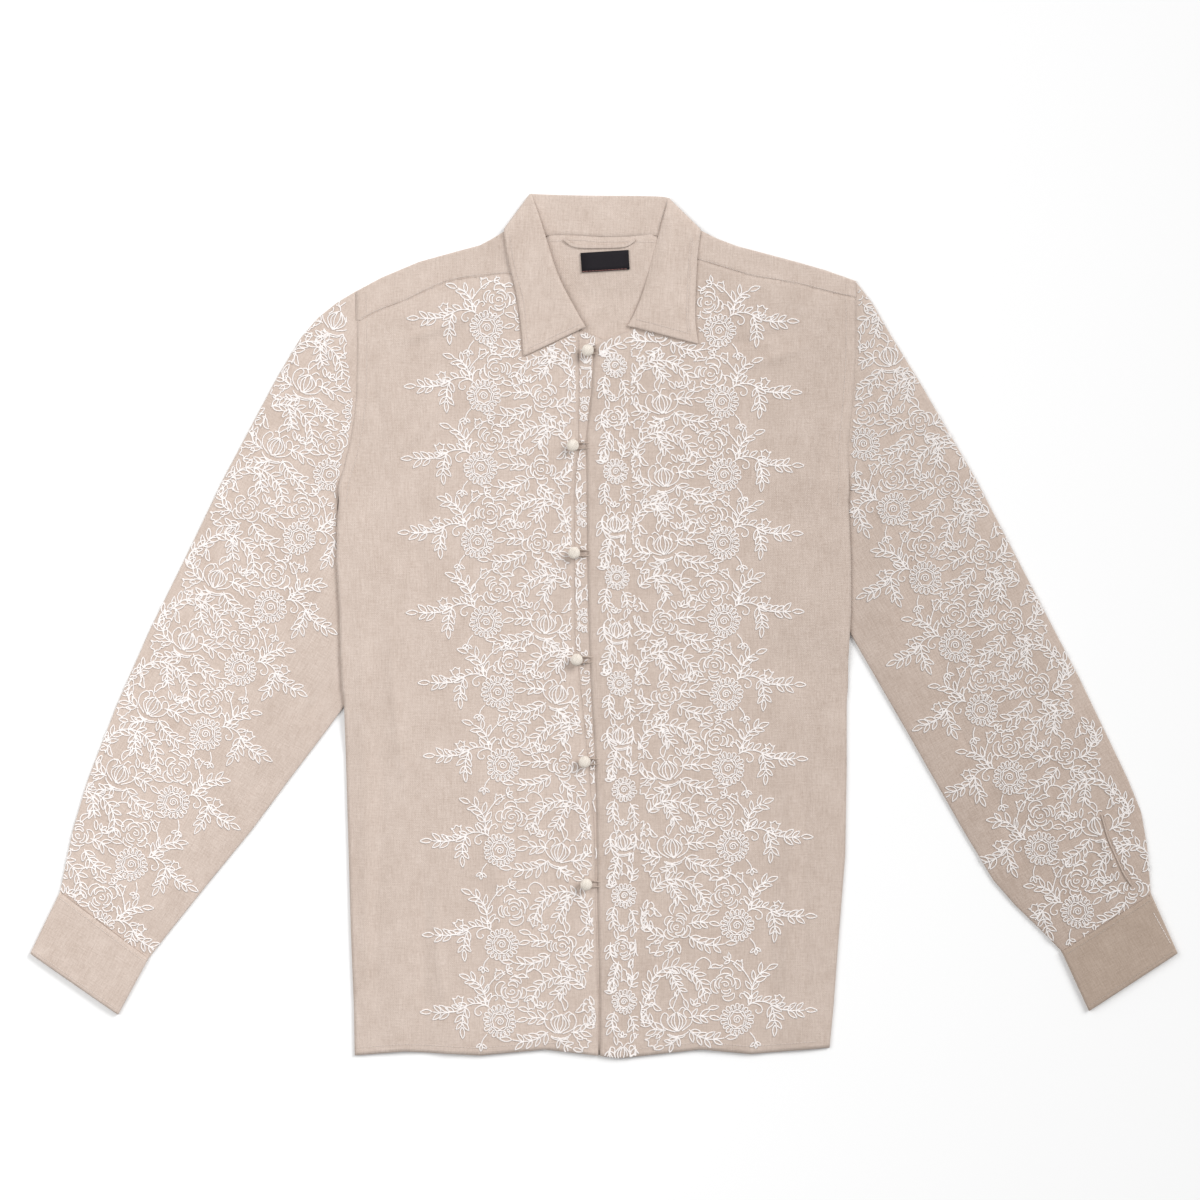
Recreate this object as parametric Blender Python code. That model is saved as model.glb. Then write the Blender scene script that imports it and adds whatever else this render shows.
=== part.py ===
"""Long-sleeved linen shirt with a loop-and-button front, lying flat with its front up.

+X runs to the wearer's left sleeve, +Y towards the collar and +Z up from the surface.
Sizes are in millimetres and become metres when a mesh is made.
"""

import math

import bpy
import bmesh

MM = 0.001
WALL = 1.2
AIR = 0.4
GAP = 0.3
LAYER = WALL + AIR
COLLAR_WALL = 1.5
CUFF_WALL = 2.0
LEAF_RISE = WALL + LAYER + 1.5 * GAP + COLLAR_WALL / 2
STRIP_RISE = WALL + GAP
TUCK_RISE = WALL + LAYER + GAP
FALL_RISE = COLLAR_WALL + GAP
BACK_YOKE_SEAM = 255.0
SEAM = 0.3

# Side edges of the body, hem to shoulder: height up the shirt, wearer's right, wearer's left.
SIDES = [
    {"y": -401.0, "right": -231.6, "left": 208.8},
    {"y": -352.5, "right": -232.5, "left": 213.4},
    {"y": -282.7, "right": -235.3, "left": 218.6},
    {"y": -213.0, "right": -237.2, "left": 224.2},
    {"y": -133.9, "right": -239.5, "left": 225.5},
    {"y": -74.4, "right": -241.3, "left": 225.5},
    {"y": -31.6, "right": -243.7, "left": 225.8},
    {"y": 13.0, "right": -244.6, "left": 228.2},
    {"y": 61.4, "right": -247.4, "left": 228.2},
    {"y": 98.6, "right": -246.5, "left": 226.6},
    {"y": 131.1, "right": -243.7, "left": 224.9},
    {"y": 150.7, "right": -238.5, "left": 224.7},
    {"y": 172.1, "right": -233.4, "left": 225.1},
    {"y": 210.2, "right": -227.9, "left": 229.0},
    {"y": 249.2, "right": -227.2, "left": 231.6},
    {"y": 283.7, "right": -226.9, "left": 231.4},
    {"y": 321.8, "right": -228.6, "left": 231.6},
]

# Hem, wearer's right to left, with its soft waves.
HEM = [
    {"x": -232.0, "y": -399.0},
    {"x": -185.1, "y": -395.2},
    {"x": -115.3, "y": -399.0},
    {"x": -54.9, "y": -393.4},
    {"x": 14.9, "y": -401.6},
    {"x": 89.3, "y": -393.4},
    {"x": 135.8, "y": -397.6},
    {"x": 210.0, "y": -391.8},
]

# Centre-front edges of the two fronts: the wearer's left front lies over the button strip.
CENTRE = [
    {"y": -401.0, "right": -5.2, "left": -3.6},
    {"y": -347.8, "right": -5.2, "left": -3.7},
    {"y": -254.8, "right": -7.8, "left": -5.9},
    {"y": -189.7, "right": -8.8, "left": -6.5},
    {"y": -124.6, "right": -14.9, "left": -7.9},
    {"y": -68.8, "right": -20.5, "left": -11.2},
    {"y": -13.0, "right": -27.0, "left": -13.7},
    {"y": 70.7, "right": -27.4, "left": -15.3},
    {"y": 135.8, "right": -27.0, "left": -15.8},
    {"y": 173.0, "right": -23.6, "left": -16.7},
    {"y": 219.5, "right": -23.3, "left": -11.2},
    {"y": 262.0, "right": -23.3, "left": -9.0},
    {"y": 280.0, "right": -23.3, "left": -9.0},
]

# Upper edge of each front: the yoke seam, then the curve of the neck.
TOP_RIGHT = [
    {"x": -227.0, "y": 282.7},
    {"x": -207.0, "y": 293.0},
    {"x": -185.0, "y": 301.4},
    {"x": -146.0, "y": 319.0},
    {"x": -104.2, "y": 325.5},
    {"x": -61.8, "y": 327.4},
    {"x": -55.6, "y": 311.5},
    {"x": -48.0, "y": 299.0},
    {"x": -40.4, "y": 289.1},
    {"x": -30.0, "y": 281.5},
    {"x": -23.3, "y": 278.0},
]
TOP_LEFT = [
    {"x": -9.3, "y": 260.8},
    {"x": 6.5, "y": 268.4},
    {"x": 23.0, "y": 274.6},
    {"x": 35.0, "y": 281.2},
    {"x": 44.0, "y": 291.5},
    {"x": 50.0, "y": 302.5},
    {"x": 56.2, "y": 331.0},
    {"x": 58.6, "y": 342.6},
    {"x": 89.3, "y": 338.5},
    {"x": 135.8, "y": 324.9},
    {"x": 179.6, "y": 317.0},
    {"x": 213.6, "y": 308.4},
    {"x": 231.5, "y": 304.6},
]

# Shoulder folds of the yoke, armhole to neck, and where each section meets the front seam.
SHOULDER_RIGHT = [
    {"x": -228.6, "y": 311.6, "seam": -227.0},
    {"x": -207.4, "y": 323.6, "seam": -207.0},
    {"x": -172.1, "y": 338.5, "seam": -185.0},
    {"x": -140.0, "y": 347.4, "seam": -165.0},
    {"x": -115.3, "y": 354.0, "seam": -146.0},
    {"x": -103.2, "y": 360.3, "seam": -125.0},
    {"x": -95.0, "y": 361.6, "seam": -104.2},
    {"x": -84.0, "y": 358.6, "seam": -82.0},
    {"x": -65.5, "y": 355.0, "seam": -61.8},
]
SHOULDER_LEFT = [
    {"x": 62.0, "y": 355.0, "seam": 58.6},
    {"x": 82.0, "y": 358.6, "seam": 73.0},
    {"x": 95.0, "y": 362.8, "seam": 89.3},
    {"x": 104.2, "y": 360.8, "seam": 112.0},
    {"x": 122.8, "y": 353.4, "seam": 135.8},
    {"x": 150.7, "y": 346.0, "seam": 158.0},
    {"x": 178.6, "y": 338.5, "seam": 179.6},
    {"x": 204.6, "y": 331.1, "seam": 213.6},
    {"x": 231.5, "y": 321.8, "seam": 231.5},
]
BACK_NECK = [
    {"x": -57.5, "y": 357.6},
    {"x": -50.0, "y": 361.8},
    {"x": -25.0, "y": 361.8},
    {"x": -3.7, "y": 360.0},
    {"x": 22.0, "y": 360.5},
    {"x": 44.0, "y": 362.4},
    {"x": 53.5, "y": 357.6},
]

# Upper edge of the button strip, which shows between the two fronts.
STRIP_TOP = [
    {"x": -36.0, "y": 276.5},
    {"x": -23.0, "y": 275.6},
    {"x": -6.0, "y": 268.8},
    {"x": 5.0, "y": 262.0},
    {"x": 18.0, "y": 255.0},
]
STRIP_LEFT = -36.0
STRIP_RIGHT = 18.0
STRIP_FOOT = -394.0

# Collar sections from the wearer's right point, round the back, to the left point.
# seam, roll and edge are places; turn is 180 where the leaf lies in front and 0 behind.
COLLAR = [
    {"seam": (-19.6, 277.2, 3.95), "roll": (-16.6, 277.6), "mid": 4.9, "radius": 0.95,
     "edge": (-74.8, 250.2), "turn": 180},
    {"seam": (-27.5, 282.6, 3.6), "roll": (-21.6, 286.0), "mid": 5.3, "radius": 1.3,
     "edge": (-75.8, 264.0), "turn": 180},
    {"seam": (-38.6, 291.2, 2.5), "roll": (-29.0, 299.5), "mid": 5.6, "radius": 1.6,
     "edge": (-77.6, 286.0), "turn": 180},
    {"seam": (-49.5, 305.0, 2.9), "roll": (-36.8, 313.5), "mid": 5.8, "radius": 1.7,
     "edge": (-80.4, 306.0), "turn": 180},
    {"seam": (-57.0, 323.5, 3.9), "roll": (-43.8, 328.8), "mid": 6.0, "radius": 1.6,
     "edge": (-85.4, 325.0), "turn": 180},
    {"seam": (-59.6, 341.0, 4.3), "roll": (-49.4, 346.8), "mid": 6.1, "radius": 1.5,
     "edge": (-89.6, 343.0), "turn": 180},
    {"seam": (-59.4, 350.5, 4.45), "roll": (-54.6, 364.0), "mid": 5.9, "radius": 1.3,
     "edge": (-91.8, 356.0), "turn": 180},
    {"seam": (-59.2, 354.6, 4.45), "roll": (-61.0, 384.0), "mid": 5.6, "radius": 1.1,
     "edge": (-92.6, 363.4), "turn": 180},
    {"seam": (-59.8, 357.0, 4.15), "roll": (-66.6, 398.8), "mid": 4.8, "radius": 1.0,
     "edge": (-92.6, 367.2), "turn": 135},
    {"seam": (-60.4, 358.6, 3.5), "roll": (-68.0, 401.6), "mid": 3.5, "radius": 0.95,
     "edge": (-92.3, 369.0), "turn": 90},
    {"seam": (-59.2, 360.2, 2.85), "roll": (-66.6, 401.8), "mid": 2.2, "radius": 0.95,
     "edge": (-90.8, 368.0), "turn": 45},
    {"seam": (-56.8, 361.8, 2.6), "roll": (-63.0, 401.6), "mid": 1.7, "radius": 0.95,
     "edge": (-87.6, 362.0), "turn": 0},
    {"seam": (-47.5, 363.8, 2.6), "roll": (-51.0, 401.0), "mid": 1.7, "radius": 0.95,
     "edge": (-72.0, 342.0), "turn": 0},
    {"seam": (-25.0, 363.2, 2.6), "roll": (-27.0, 400.4), "mid": 1.7, "radius": 0.95,
     "edge": (-38.0, 336.2), "turn": 0},
    {"seam": (-3.7, 361.4, 2.6), "roll": (-3.7, 400.0), "mid": 1.7, "radius": 0.95,
     "edge": (-3.7, 334.8), "turn": 0},
    {"seam": (21.9, 361.9, 2.6), "roll": (20.0, 400.0), "mid": 1.7, "radius": 0.95,
     "edge": (32.0, 336.0), "turn": 0},
    {"seam": (42.0, 363.8, 2.6), "roll": (42.0, 399.8), "mid": 1.7, "radius": 0.95,
     "edge": (66.0, 341.4), "turn": 0},
    {"seam": (51.0, 362.6, 2.6), "roll": (53.5, 399.2), "mid": 1.7, "radius": 0.95,
     "edge": (83.6, 360.6), "turn": 0},
    {"seam": (54.0, 360.8, 2.85), "roll": (57.8, 398.6), "mid": 2.2, "radius": 0.95,
     "edge": (87.6, 367.0), "turn": 45},
    {"seam": (55.6, 359.0, 3.5), "roll": (59.6, 397.4), "mid": 3.5, "radius": 0.95,
     "edge": (89.4, 368.4), "turn": 90},
    {"seam": (56.0, 357.0, 4.15), "roll": (58.8, 393.6), "mid": 4.8, "radius": 1.0,
     "edge": (89.8, 366.4), "turn": 135},
    {"seam": (55.6, 354.6, 4.45), "roll": (55.4, 381.0), "mid": 5.6, "radius": 1.1,
     "edge": (89.2, 361.6), "turn": 180},
    {"seam": (55.6, 350.0, 4.45), "roll": (50.6, 364.0), "mid": 6.2, "radius": 1.5,
     "edge": (87.6, 354.0), "turn": 180},
    {"seam": (55.0, 341.0, 4.3), "roll": (45.4, 345.0), "mid": 6.5, "radius": 1.9,
     "edge": (86.4, 338.0), "turn": 180},
    {"seam": (53.8, 329.0, 4.1), "roll": (41.2, 329.0), "mid": 6.6, "radius": 2.0,
     "edge": (85.6, 319.0), "turn": 180},
    {"seam": (48.4, 304.0, 2.9), "roll": (36.4, 310.5), "mid": 6.4, "radius": 2.0,
     "edge": (84.6, 297.0), "turn": 180},
    {"seam": (42.4, 293.4, 2.6), "roll": (31.2, 298.0), "mid": 6.0, "radius": 1.8,
     "edge": (84.8, 281.0), "turn": 180},
    {"seam": (33.8, 284.0, 3.4), "roll": (27.0, 288.0), "mid": 5.5, "radius": 1.4,
     "edge": (86.6, 268.5), "turn": 180},
    {"seam": (23.8, 277.6, 3.95), "roll": (21.6, 279.4), "mid": 4.9, "radius": 0.95,
     "edge": (87.9, 261.8), "turn": 180},
]

# Sleeve edges, shoulder to cuff: the outer fold, then the underarm fold.
SLEEVE_RIGHT_OUTER = [
    (-230.0, 311.6), (-247.4, 301.3), (-266.0, 286.4), (-281.8, 267.8), (-304.1, 230.6),
    (-354.3, 135.8), (-387.8, 66.0), (-422.2, -3.7), (-452.9, -73.5), (-479.9, -143.2),
    (-493.8, -189.7), (-502.2, -230.0), (-505.4, -246.8),
]
SLEEVE_RIGHT_INNER = [
    (-198.0, 34.0), (-203.7, -20.0), (-241.3, -74.4), (-257.6, -96.7), (-292.9, -143.2),
    (-327.4, -189.7), (-365.5, -236.2), (-402.7, -282.7), (-423.0, -308.6),
]
ARMHOLE_RIGHT = [
    (-230.0, 311.6), (-228.4, 283.7), (-228.6, 249.2), (-229.5, 210.2), (-234.8, 172.1),
    (-240.2, 150.7), (-245.6, 131.1), (-247.8, 112.0), (-240.0, 90.0), (-225.0, 62.0),
    (-208.0, 42.0), (-198.0, 34.0),
]
SLEEVE_LEFT_OUTER = [
    (233.0, 320.9), (248.3, 301.3), (266.0, 270.6), (292.0, 228.8), (346.0, 135.8),
    (394.3, 42.8), (442.7, -50.2), (487.3, -143.2), (499.4, -173.0), (505.0, -205.5),
    (508.2, -248.6),
]
SLEEVE_LEFT_INNER = [
    (180.0, 52.1), (188.0, 5.6), (226.9, -3.7), (253.9, -50.2), (280.9, -96.7),
    (333.9, -189.7), (361.8, -236.2), (382.2, -259.5), (407.3, -283.7), (425.0, -302.0),
]
ARMHOLE_LEFT = [
    (233.2, 320.9), (233.2, 283.7), (233.0, 249.2), (230.6, 210.2), (227.0, 172.1),
    (226.4, 150.7), (226.6, 131.1), (225.2, 114.0), (214.0, 88.0), (198.0, 66.0),
    (180.0, 52.1),
]
CUFF_RIGHT = {"outer": [(-505.6, -247.1), (-533.3, -304.1)], "inner": [(-423.2, -308.9), (-451.4, -361.1)]}
CUFF_LEFT = {"outer": [(508.4, -248.9), (533.1, -303.8)], "inner": [(425.2, -302.3), (450.6, -357.6)]}

# Cloth that lies over a tucked sleeve, the turned-down collar or the button strip is lifted.
TUCK_RIGHT = [(-246.0, 128.0), (-234.0, 100.0), (-219.0, 70.0), (-200.0, 50.0), (-187.0, 36.0),
              (-194.0, -27.0), (-232.0, -86.0), (-280.0, -100.0), (-280.0, 128.0)]
TUCK_LEFT = [(225.0, 130.0), (206.0, 98.0), (190.0, 76.0), (169.0, 60.0), (178.0, -6.0),
             (222.0, -15.0), (270.0, -30.0), (270.0, 130.0)]
FALL = [(-99.0, 371.0), (-74.0, 408.0), (66.0, 408.0), (97.0, 371.0), (94.0, 360.0), (76.0, 335.0),
        (36.0, 327.0), (-3.7, 325.5), (-42.0, 327.0), (-80.0, 334.0), (-97.0, 358.0)]
STRIP = [(-40.0, 281.0), (-40.0, -410.0), (22.0, -410.0), (22.0, 260.0), (9.0, 272.0), (-18.0, 284.0)]
UNDER_COLLAR_RIGHT = [(-66.0, 400.0), (-43.0, 329.0), (-14.0, 275.0), (-79.0, 243.0), (-90.0, 315.0),
                      (-96.0, 370.0)]
UNDER_COLLAR_LEFT = [(58.0, 398.0), (40.0, 329.0), (20.0, 276.0), (93.0, 255.0), (91.0, 320.0),
                     (96.0, 368.0)]

# Soft folds: a straight line over the cloth, half its width, and how far it rises or sinks.
FRONT_FOLDS = [
    {"a": (-208.0, -30.0), "b": (-212.0, -390.0), "width": 9.0, "rise": -1.1},
    {"a": (-190.0, -60.0), "b": (-192.0, -390.0), "width": 9.0, "rise": 0.9},
    {"a": (-166.0, -220.0), "b": (-166.0, -395.0), "width": 9.0, "rise": -1.2},
    {"a": (-146.0, -240.0), "b": (-142.0, -395.0), "width": 9.0, "rise": 0.8},
    {"a": (-224.0, 230.0), "b": (-218.0, 120.0), "width": 9.0, "rise": -0.9},
    {"a": (-206.0, 240.0), "b": (-196.0, 110.0), "width": 10.0, "rise": 1.0},
    {"a": (-172.0, 80.0), "b": (-164.0, 20.0), "width": 9.0, "rise": -0.8},
    {"a": (-196.0, 290.0), "b": (-84.0, 306.0), "width": 8.0, "rise": 0.7},
    {"a": (-110.0, -80.0), "b": (-96.0, -330.0), "width": 16.0, "rise": 0.7},
    {"a": (184.0, 276.0), "b": (108.0, 256.0), "width": 8.0, "rise": -1.0},
    {"a": (188.0, 262.0), "b": (104.0, 240.0), "width": 9.0, "rise": 0.8},
    {"a": (206.0, 200.0), "b": (196.0, 90.0), "width": 10.0, "rise": 0.9},
    {"a": (176.0, -80.0), "b": (182.0, -380.0), "width": 11.0, "rise": 0.9},
    {"a": (152.0, -160.0), "b": (158.0, -392.0), "width": 9.0, "rise": -0.9},
    {"a": (96.0, -40.0), "b": (88.0, -380.0), "width": 14.0, "rise": 0.7},
    {"a": (60.0, 120.0), "b": (66.0, -60.0), "width": 14.0, "rise": 0.5},
]
SLEEVE_FOLDS = [
    {"a": (-280.0, 230.0), "b": (-350.0, 90.0), "width": 11.0, "rise": 0.9},
    {"a": (-262.0, 60.0), "b": (-300.0, -60.0), "width": 10.0, "rise": 1.0},
    {"a": (-254.0, -40.0), "b": (-276.0, -90.0), "width": 8.0, "rise": -1.1},
    {"a": (-330.0, 20.0), "b": (-400.0, -120.0), "width": 11.0, "rise": -0.8},
    {"a": (-462.0, -124.0), "b": (-470.0, -215.0), "width": 9.0, "rise": -1.0},
    {"a": (-440.0, -110.0), "b": (-452.0, -230.0), "width": 10.0, "rise": 0.9},
    {"a": (-372.0, -140.0), "b": (-430.0, -270.0), "width": 9.0, "rise": 0.8},
    {"a": (282.0, 44.0), "b": (276.0, 6.0), "width": 9.0, "rise": -1.1},
    {"a": (262.0, 120.0), "b": (258.0, 10.0), "width": 10.0, "rise": 1.0},
    {"a": (318.0, -30.0), "b": (338.0, -126.0), "width": 9.0, "rise": -1.0},
    {"a": (336.0, 60.0), "b": (380.0, -60.0), "width": 12.0, "rise": 0.8},
    {"a": (462.0, -174.0), "b": (486.0, -240.0), "width": 6.0, "rise": 1.1},
    {"a": (396.0, -110.0), "b": (440.0, -260.0), "width": 10.0, "rise": 0.8},
]
# Rows of a body panel up the shirt, and its columns in from each side edge.
LEVELS = [-365, -325, -280, -235, -190, -150, -118, -98, -82, -64, -46, -26, -6, 12, 30,
          48, 66, 84, 100, 114, 128, 145, 168, 192]
UPPER_SHARES = [0.25, 0.5, 0.7, 0.82, 0.91, 1.0]
EDGE_STEPS = [0, 5, 12, 20, 30, 42, 54, 66]
PANEL_PUFF = 1.2
SLEEVE_PUFF = 1.3
MOST_PUFF = 3.0

# Buttons down the centre: place, and the foot of the shank where the button strip carries it.
BUTTONS = [
    {"x": -15.1, "y": 255.8, "foot": 3.1, "lean": 0.0},
    {"x": -29.1, "y": 167.6, "foot": 4.6, "lean": 4.0},
    {"x": -27.5, "y": 67.9, "foot": 4.6, "lean": -3.0},
    {"x": -25.4, "y": -31.2, "foot": 4.6, "lean": 2.0},
    {"x": -17.8, "y": -126.0, "foot": 4.6, "lean": -2.0},
    {"x": -16.6, "y": -239.7, "foot": 4.6, "lean": 3.0},
]
# Outline of a covered button from its shank to its crown, over the button's foot at 4.6 mm.
BUTTON_PROFILE = [
    {"radius": 2.1, "rise": 0.0},
    {"radius": 2.1, "rise": 2.2},
    {"radius": 4.6, "rise": 2.7},
    {"radius": 6.1, "rise": 4.6},
    {"radius": 5.5, "rise": 6.7},
    {"radius": 3.4, "rise": 8.0},
]
BUTTON_CROWN = 8.5
BUTTON_FOOT = 4.6
CORD_RADIUS = 0.75
LOOP_RADIUS = 3.3

HANGER = [(-37.0, 359.8), (-31.6, 354.6), (-26.0, 352.8), (-17.7, 352.2), (17.7, 352.7),
          (22.4, 354.2), (28.6, 359.0)]
HANGER_WIDTH = 3.2
HANGER_THICK = 1.0
LABEL = {"centre": (1.0, 338.9), "width": 44.6, "height": 18.2, "thick": 1.0, "turn": 3.6}

LINEN = (0.66, 0.56, 0.49)
COVERED = (0.80, 0.73, 0.60)
LABEL_BLACK = (0.018, 0.016, 0.019)


def lerp(a, b, t):
    return a + (b - a) * t


def smooth(t):
    t = max(0.0, min(1.0, t))
    return t * t * (3.0 - 2.0 * t)


def read(rows, key, column, value):
    """Value of one column of a table between its rows, which rise along the key."""
    if value <= rows[0][key]:
        return rows[0][column]
    for low, high in zip(rows, rows[1:]):
        if value <= high[key]:
            return lerp(low[column], high[column], (value - low[key]) / (high[key] - low[key]))
    return rows[-1][column]


def along(points, t):
    """Place at the fraction t of a broken line's length."""
    steps = [math.dist(a, b) for a, b in zip(points, points[1:])]
    left = t * sum(steps)
    for a, b, step in zip(points, points[1:], steps):
        if left <= step:
            return tuple(lerp(p, q, left / step) for p, q in zip(a, b))
        left -= step
    return tuple(points[-1])


def to_line(x, y, a, b):
    """Distance from a place to a straight line between two places."""
    dx = b[0] - a[0]
    dy = b[1] - a[1]
    t = ((x - a[0]) * dx + (y - a[1]) * dy) / (dx * dx + dy * dy)
    t = max(0.0, min(1.0, t))
    return math.hypot(x - a[0] - dx * t, y - a[1] - dy * t)


def outside(x, y, outline):
    """How far a place is outside an outline, and 0 inside it."""
    inside = False
    nearest = 1e9
    for a, b in zip(outline, outline[1:] + outline[:1]):
        nearest = min(nearest, to_line(x, y, a, b))
        if (a[1] > y) != (b[1] > y):
            if x < a[0] + (b[0] - a[0]) * (y - a[1]) / (b[1] - a[1]):
                inside = not inside
    return 0.0 if inside else nearest


def under(x, y, outline, reach):
    """1 over an outline, easing to 0 at its reach."""
    return 1.0 - smooth(outside(x, y, outline) / reach)


def tuck_lift(x, y, reach):
    return TUCK_RISE * max(under(x, y, TUCK_RIGHT, reach), under(x, y, TUCK_LEFT, reach))


def lift(x, y):
    """How far the back and the yoke are raised by what lies under them."""
    return tuck_lift(x, y, 16.0) + FALL_RISE * under(x, y, FALL, 15.0)


def front_lift(x, y):
    rise = tuck_lift(x, y, 21.0) + FALL_RISE * under(x, y, FALL, 20.0)
    return rise + STRIP_RISE * under(x, y, STRIP, 11.0)


def folds(x, y, rows):
    total = 0.0
    for row in rows:
        total += row["rise"] * math.exp(-((to_line(x, y, row["a"], row["b"]) / row["width"]) ** 2))
    return total


def front_puff(x, y):
    """Air under a front, which dies out at its seams, at the tucked sleeves and under the collar."""
    edge = min(
        x - read(SIDES, "y", "right", y),
        read(SIDES, "y", "left", y) - x,
        outside(x, y, STRIP),
        outside(x, y, UNDER_COLLAR_RIGHT),
        outside(x, y, UNDER_COLLAR_LEFT),
    )
    top = read(TOP_RIGHT, "x", "y", x) if x < -16.0 else read(TOP_LEFT, "x", "y", x)
    hold = smooth(edge / 16.0) * smooth((top - y) / 14.0)
    hold *= 1.0 - max(under(x, y, TUCK_RIGHT, 24.0), under(x, y, TUCK_LEFT, 24.0))
    return hold * max(0.2, min(MOST_PUFF, PANEL_PUFF + folds(x, y, FRONT_FOLDS)))


def sleeve_puff(x, y, from_edge, from_end):
    inside_body = x - read(SIDES, "y", "right", y) if x < 0.0 else read(SIDES, "y", "left", y) - x
    hold = smooth(from_edge / 14.0) * smooth(from_end / 14.0) * smooth((-inside_body - 5.0) / 14.0)
    return hold * max(0.2, min(MOST_PUFF, SLEEVE_PUFF + folds(x, y, SLEEVE_FOLDS)))


def new_object(name, material, verts, faces):
    """Closed body from places in millimetres, with its faces turned outwards."""
    mesh = bpy.data.meshes.new(name)
    shape = bmesh.new()
    made = [shape.verts.new((x * MM, y * MM, z * MM)) for x, y, z in verts]
    for face in faces:
        shape.faces.new([made[index] for index in face])
    bmesh.ops.recalc_face_normals(shape, faces=shape.faces)
    shape.to_mesh(mesh)
    shape.free()
    mesh.materials.append(material)
    obj = bpy.data.objects.new(name, mesh)
    bpy.context.scene.collection.objects.link(obj)
    return obj


def new_material(name, colour, roughness):
    material = bpy.data.materials.new(name)
    material.use_nodes = True
    shader = material.node_tree.nodes["Principled BSDF"]
    shader.inputs["Base Color"].default_value = (*colour, 1.0)
    shader.inputs["Roughness"].default_value = roughness
    shader.inputs["Metallic"].default_value = 0.0
    material.diffuse_color = (*colour, 1.0)
    return material


def new_sheet(name, material, pairs, quads):
    """Cloth wall from (outer, inner) pairs of places, closed along every open edge."""
    count = len(pairs)
    verts = [outer for outer, _ in pairs] + [inner for _, inner in pairs]
    faces = []
    for a, b, c, d in quads:
        faces += [[a, b, c], [a, c, d]]
        faces += [[c + count, b + count, a + count], [d + count, c + count, a + count]]
    edges = {}
    for quad in quads:
        for a, b in zip(quad, quad[1:] + quad[:1]):
            edges[(a, b)] = (b, a) in edges
            if (b, a) in edges:
                edges[(b, a)] = True
    for (a, b), shared in edges.items():
        if not shared:
            faces.append([b, a, a + count, b + count])
    return new_object(name, material, verts, faces)


def grid_quads(columns, rows, start=0):
    quads = []
    for row in range(rows - 1):
        for column in range(columns - 1):
            corner = start + row * columns + column
            quads.append([corner, corner + 1, corner + columns + 1, corner + columns])
    return quads


def flat_pair(x, y, bottom):
    return (x, y, bottom + WALL), (x, y, bottom)


def body_panel(name, material, columns, hem, top, upper, bottom):
    """Panel from the hem to its upper edge; each column gives its x at a height."""
    pairs = []
    for level in [None, *LEVELS]:
        for column in columns:
            y = level
            if level is None:
                x = column(HEM[0]["y"])
                y = hem(x)
            x = column(y)
            pairs.append(flat_pair(x, y, bottom(x, y)))
    for share in upper:
        for column in columns:
            x = column(LEVELS[-1])
            for _ in range(4):
                y = lerp(LEVELS[-1], top(x), share)
                x = column(y)
            pairs.append(flat_pair(x, y, bottom(x, y)))
    return new_sheet(name, material, pairs, grid_quads(len(columns), len(LEVELS) + 1 + len(upper)))


def from_edge(rows, column, offset):
    return lambda y: read(rows, "y", column, y) + offset


def fixed(x):
    return lambda y: x


def right_side():
    return [from_edge(SIDES, "right", offset) for offset in EDGE_STEPS]


def left_side():
    return [from_edge(SIDES, "left", -offset) for offset in reversed(EDGE_STEPS)]


def make_back(material):
    columns = right_side() + [fixed(x) for x in (-146, -100, -50, 0, 50, 92, 135.8)] + left_side()
    return body_panel(
        "back", material, columns,
        lambda x: read(HEM, "x", "y", x) + 1.5,
        lambda x: BACK_YOKE_SEAM - SEAM,
        (0.5, 1.0), lift,
    )


def front_bottom(x, y):
    return LAYER + front_lift(x, y) + front_puff(x, y)


def make_front_right(material):
    columns = right_side() + [fixed(x) for x in (-146, -125, -104.2, -82, -61.8, -52, -43)]
    columns += [from_edge(CENTRE, "right", offset) for offset in (-12, -5, 0)]
    return body_panel(
        "front_right", material, columns,
        lambda x: read(HEM, "x", "y", x),
        lambda x: read(TOP_RIGHT, "x", "y", x) - SEAM,
        UPPER_SHARES, front_bottom,
    )


def make_front_left(material):
    columns = [from_edge(CENTRE, "left", offset) for offset in (0, 6, 14)]
    columns += [fixed(x) for x in (16, 24, 33, 42, 50, 58.6, 73, 89.3, 112, 135.8)] + left_side()
    return body_panel(
        "front_left", material, columns,
        lambda x: read(HEM, "x", "y", x),
        lambda x: read(TOP_LEFT, "x", "y", x) - SEAM,
        UPPER_SHARES, front_bottom,
    )


def make_button_strip(material):
    """Strip sewn behind the wearer's right front, showing between the two fronts."""
    pairs = []
    rows = 8
    for row in range(rows + 1):
        for column in range(5):
            x = lerp(STRIP_LEFT, STRIP_RIGHT, column / 4)
            y = lerp(STRIP_FOOT, read(STRIP_TOP, "x", "y", x), row / rows)
            pairs.append(flat_pair(x, y, LAYER))
    return new_sheet("button_strip", material, pairs, grid_quads(5, rows + 1))


def turned(mid, normal, half):
    outer = tuple(m + n * half for m, n in zip(mid, normal))
    inner = tuple(m - n * half for m, n in zip(mid, normal))
    return outer, inner


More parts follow.
